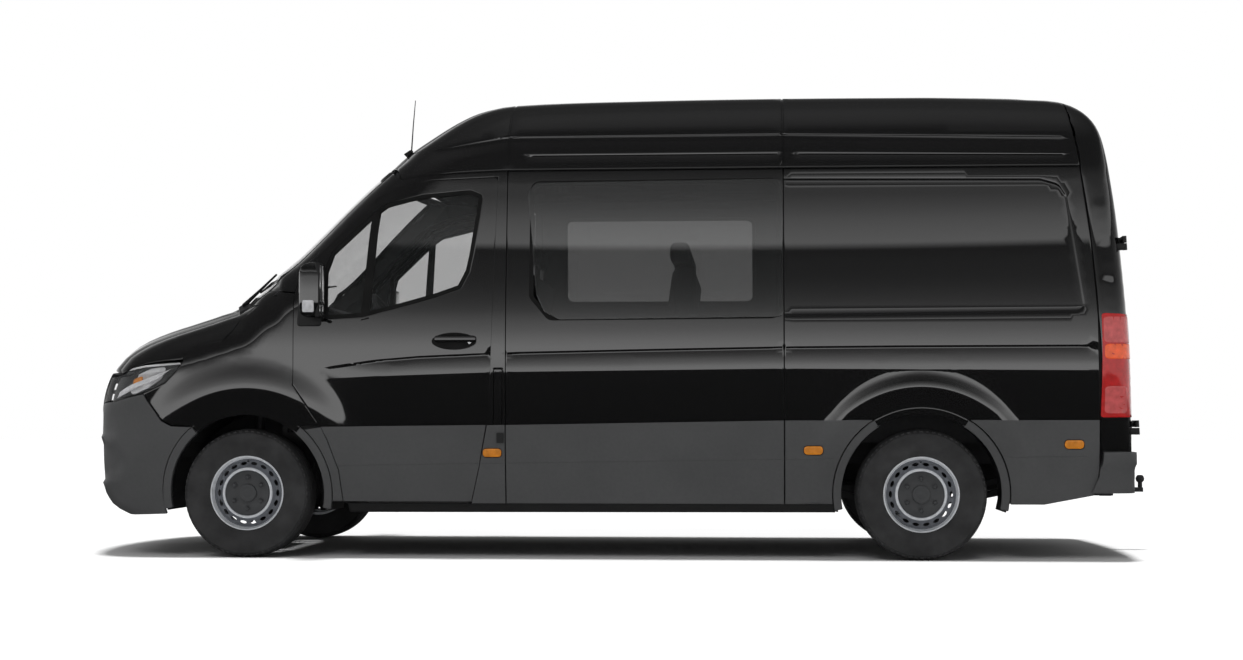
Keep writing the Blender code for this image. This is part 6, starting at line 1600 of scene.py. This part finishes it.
def ply_relief(points):
    """Shallow ribs pressed into the lining of the load space."""
    return 0.006 * ease((np.sin(points[:, 0] * 22) - 0.3) / 0.5)


def housing(side, word):
    """Liners over the wheels."""
    for axle_x, place in ((AXLE_X, "front"), (REAR_AXLE_X, "rear")):
        inner, outer, radius = side * 0.56, side * 0.93, LINER
        verts, faces, steps = [], [], 28
        for i in range(steps + 1):
            turn = radians(-12 + 204 * i / steps)
            rib = 0.004 if i % 4 == 0 else 0.0
            for y in (inner, outer):
                for r in (radius - rib, radius + 0.006):
                    verts.append((axle_x + r * cos(turn), y, AXLE_Z + r * sin(turn)))
        for i in range(steps):
            a, b = i * 4, i * 4 + 4
            faces += [(a, b, b + 2, a + 2), (a + 1, a + 3, b + 3, b + 1), (a, a + 1, b + 1, b),
                      (a + 2, b + 2, b + 3, a + 3)]
        faces += [(0, 2, 3, 1), (steps * 4, steps * 4 + 1, steps * 4 + 3, steps * 4 + 2)]
        finish("wheel_liner_%s_%s" % (place, word), outward(mesh_of(verts, faces)), "body", TRIM)


def rear_linings(side, word):
    """Lining and seal inside a rear door."""
    s, body = side, "rear_door_" + word
    half = [(0.02, 0.66), (0.835, 0.66), (0.835, 1.355), (0.822, 1.876), (0.792, 2.12), (0.735, 2.25),
            (0.640, 2.335), (0.02, 2.335)]
    outline = rounded([(s * y, z) for y, z in half], 0.02)
    panel("rear_door_lining_" + word, REARWARD, outline, body, CABIN, 0.006, (), 0.05, raised=-0.046,
          relief=lambda p: -rear_relief(p, side))
    seal_line = grow(outline, -0.004)
    panel("rear_door_seal_" + word, REARWARD, seal_line, body, SEAL, 0.012, [grow(seal_line, -0.016)], 0.05,
          raised=-0.050, rim=0.004)


def bonnet_ribs():
    """Pressed frame under the bonnet."""
    ray = from_point(NOSE_CX, NOSE_CZ, -1)
    spots = [(-2.05, -0.72, 1.36), (-2.30, -0.74, 1.17), (-2.75, -0.66, 1.06), (-2.90, -0.3, 1.05)]
    outer = seen_from(both(spots), NOSE_CX, NOSE_CZ, -1)
    holes = []
    for y_low, y_high in ((-0.60, -0.24), (-0.16, 0.16), (0.24, 0.60)):
        hole = [(-2.12, y_low, 1.34), (-2.12, y_high, 1.34), (-2.66, y_high, 1.12), (-2.66, y_low, 1.12)]
        holes.append(rounded(seen_from(hole, NOSE_CX, NOSE_CZ, -1), 0.02))
    panel("bonnet_frame", ray, rounded(outer, 0.02), "bonnet", PAINT, 0.012, holes, 0.04, raised=-0.018)


HEADER_CORNER = ((-1.285, 0.600, 2.135), (-1.245, 0.675, 2.128), (-1.200, 0.750, 2.108),
                 (-1.150, 0.800, 2.090))


def header_corner(side, word):
    """Trim that closes the corner between the windscreen, the roof and the pillar."""
    corner = tube([(x, side * y, z) for x, y, z in HEADER_CORNER], 0.018, 12)
    finish("header_corner_" + word, outward(corner), "body", CABIN)


for side, word in ((-1, "left"), (1, "right")):
    linings(side, word)
    rear_linings(side, word)
bonnet_ribs()
for side, word in ((-1, "left"), (1, "right")):
    header_corner(side, word)




CAMERA_PLACE, CAMERA_TILT, CAMERA_TURN = (0.7285, -11.201, 0.745), 0.048, 0.067
CAMERA_LENS, CAMERA_SENSOR, CAMERA_REACH = 54.8281, 36.0, 300.0
SUNS = (("overhead", 2.9, 0, 0, 9), ("from_the_side", 0.55, 42, -12, 30))
FLOOR_SIZE = 120


def studio():
    """Camera as in the photograph, pale floor, soft light and white surroundings."""
    camera = bpy.data.cameras.new("camera")
    view = bpy.data.objects.new("camera", camera)
    bpy.context.scene.collection.objects.link(view)
    camera.sensor_width, camera.lens, camera.clip_end = CAMERA_SENSOR, CAMERA_LENS, CAMERA_REACH
    view.location = CAMERA_PLACE
    view.rotation_euler = (pi / 2 + CAMERA_TILT, 0, CAMERA_TURN)
    bpy.context.scene.camera = view
    for name, energy, tilt, turn, angle in SUNS:
        light = bpy.data.lights.new(name, "SUN")
        light.energy, light.angle = energy, radians(angle)
        lamp = bpy.data.objects.new(name, light)
        bpy.context.scene.collection.objects.link(lamp)
        lamp.rotation_euler = (radians(tilt), 0, radians(turn))
        lamp.visible_glossy = False
    bpy.ops.mesh.primitive_plane_add(size=FLOOR_SIZE)
    floor = bpy.context.active_object
    floor.name = "studio_floor"
    made = Finish("pale_floor", (0.9, 0.9, 0.9), 0.9, Specular_IOR_Level=0.0)
    made.vary(0.01, made.noise(2.0))
    floor.data.materials.append(made.material)
    floor.visible_glossy = False
    surroundings()


# What glossy rays see, as the sine of the height above the horizon and the grey there
ROOM = ((-1.0, 0.02), (-0.03, 0.025), (-0.008, 0.04), (0.002, 1.0), (0.066, 0.93), (0.117, 0.57),
        (0.153, 0.42), (0.194, 0.25), (0.230, 0.17), (0.255, 0.125), (0.277, 0.08), (0.289, 0.04),
        (0.2925, 0.64), (0.329, 0.45), (0.345, 0.34), (0.375, 0.20), (0.385, 0.14), (0.48, 0.05),
        (0.72, 0.045), (0.92, 0.08), (1.0, 0.13))
ROOM_GREY = (0.24, 0.24, 0.24, 1)


def surroundings():
    """White behind the van, a grey room to light it and a graded one to show in its paint."""
    world = bpy.data.worlds.new("studio")
    bpy.context.scene.world = world
    world.use_nodes = True
    tree = world.node_tree
    back = tree.nodes["Background"]
    place = make(tree, "TexCoord", out=0)
    height = make(tree, "SeparateXYZ", out=2, v0=place)
    ramp = make(tree, "ValToRGB", {"stops": [((h + 1) / 2, (v, v, v, 1)) for h, v in ROOM]},
                v0=height * 0.5 + 0.5)
    path = tree.nodes.new("ShaderNodeLightPath")
    glossy, camera, through = (Sum(path.outputs[key]) for key in
                               ("Is Glossy Ray", "Is Camera Ray", "Is Transmission Ray"))
    shown = make(tree, "Mix", {"data_type": "RGBA"}, out=2, v0=glossy, v6=ROOM_GREY, v7=ramp)
    white = make(tree, "Mix", {"data_type": "RGBA"}, out=2, v0=camera.math("MAXIMUM", through), v6=shown,
                 v7=(1, 1, 1, 1))
    tree.links.new(white.socket, back.inputs["Color"])
    bpy.context.scene.view_settings.view_transform = "Standard"


studio()
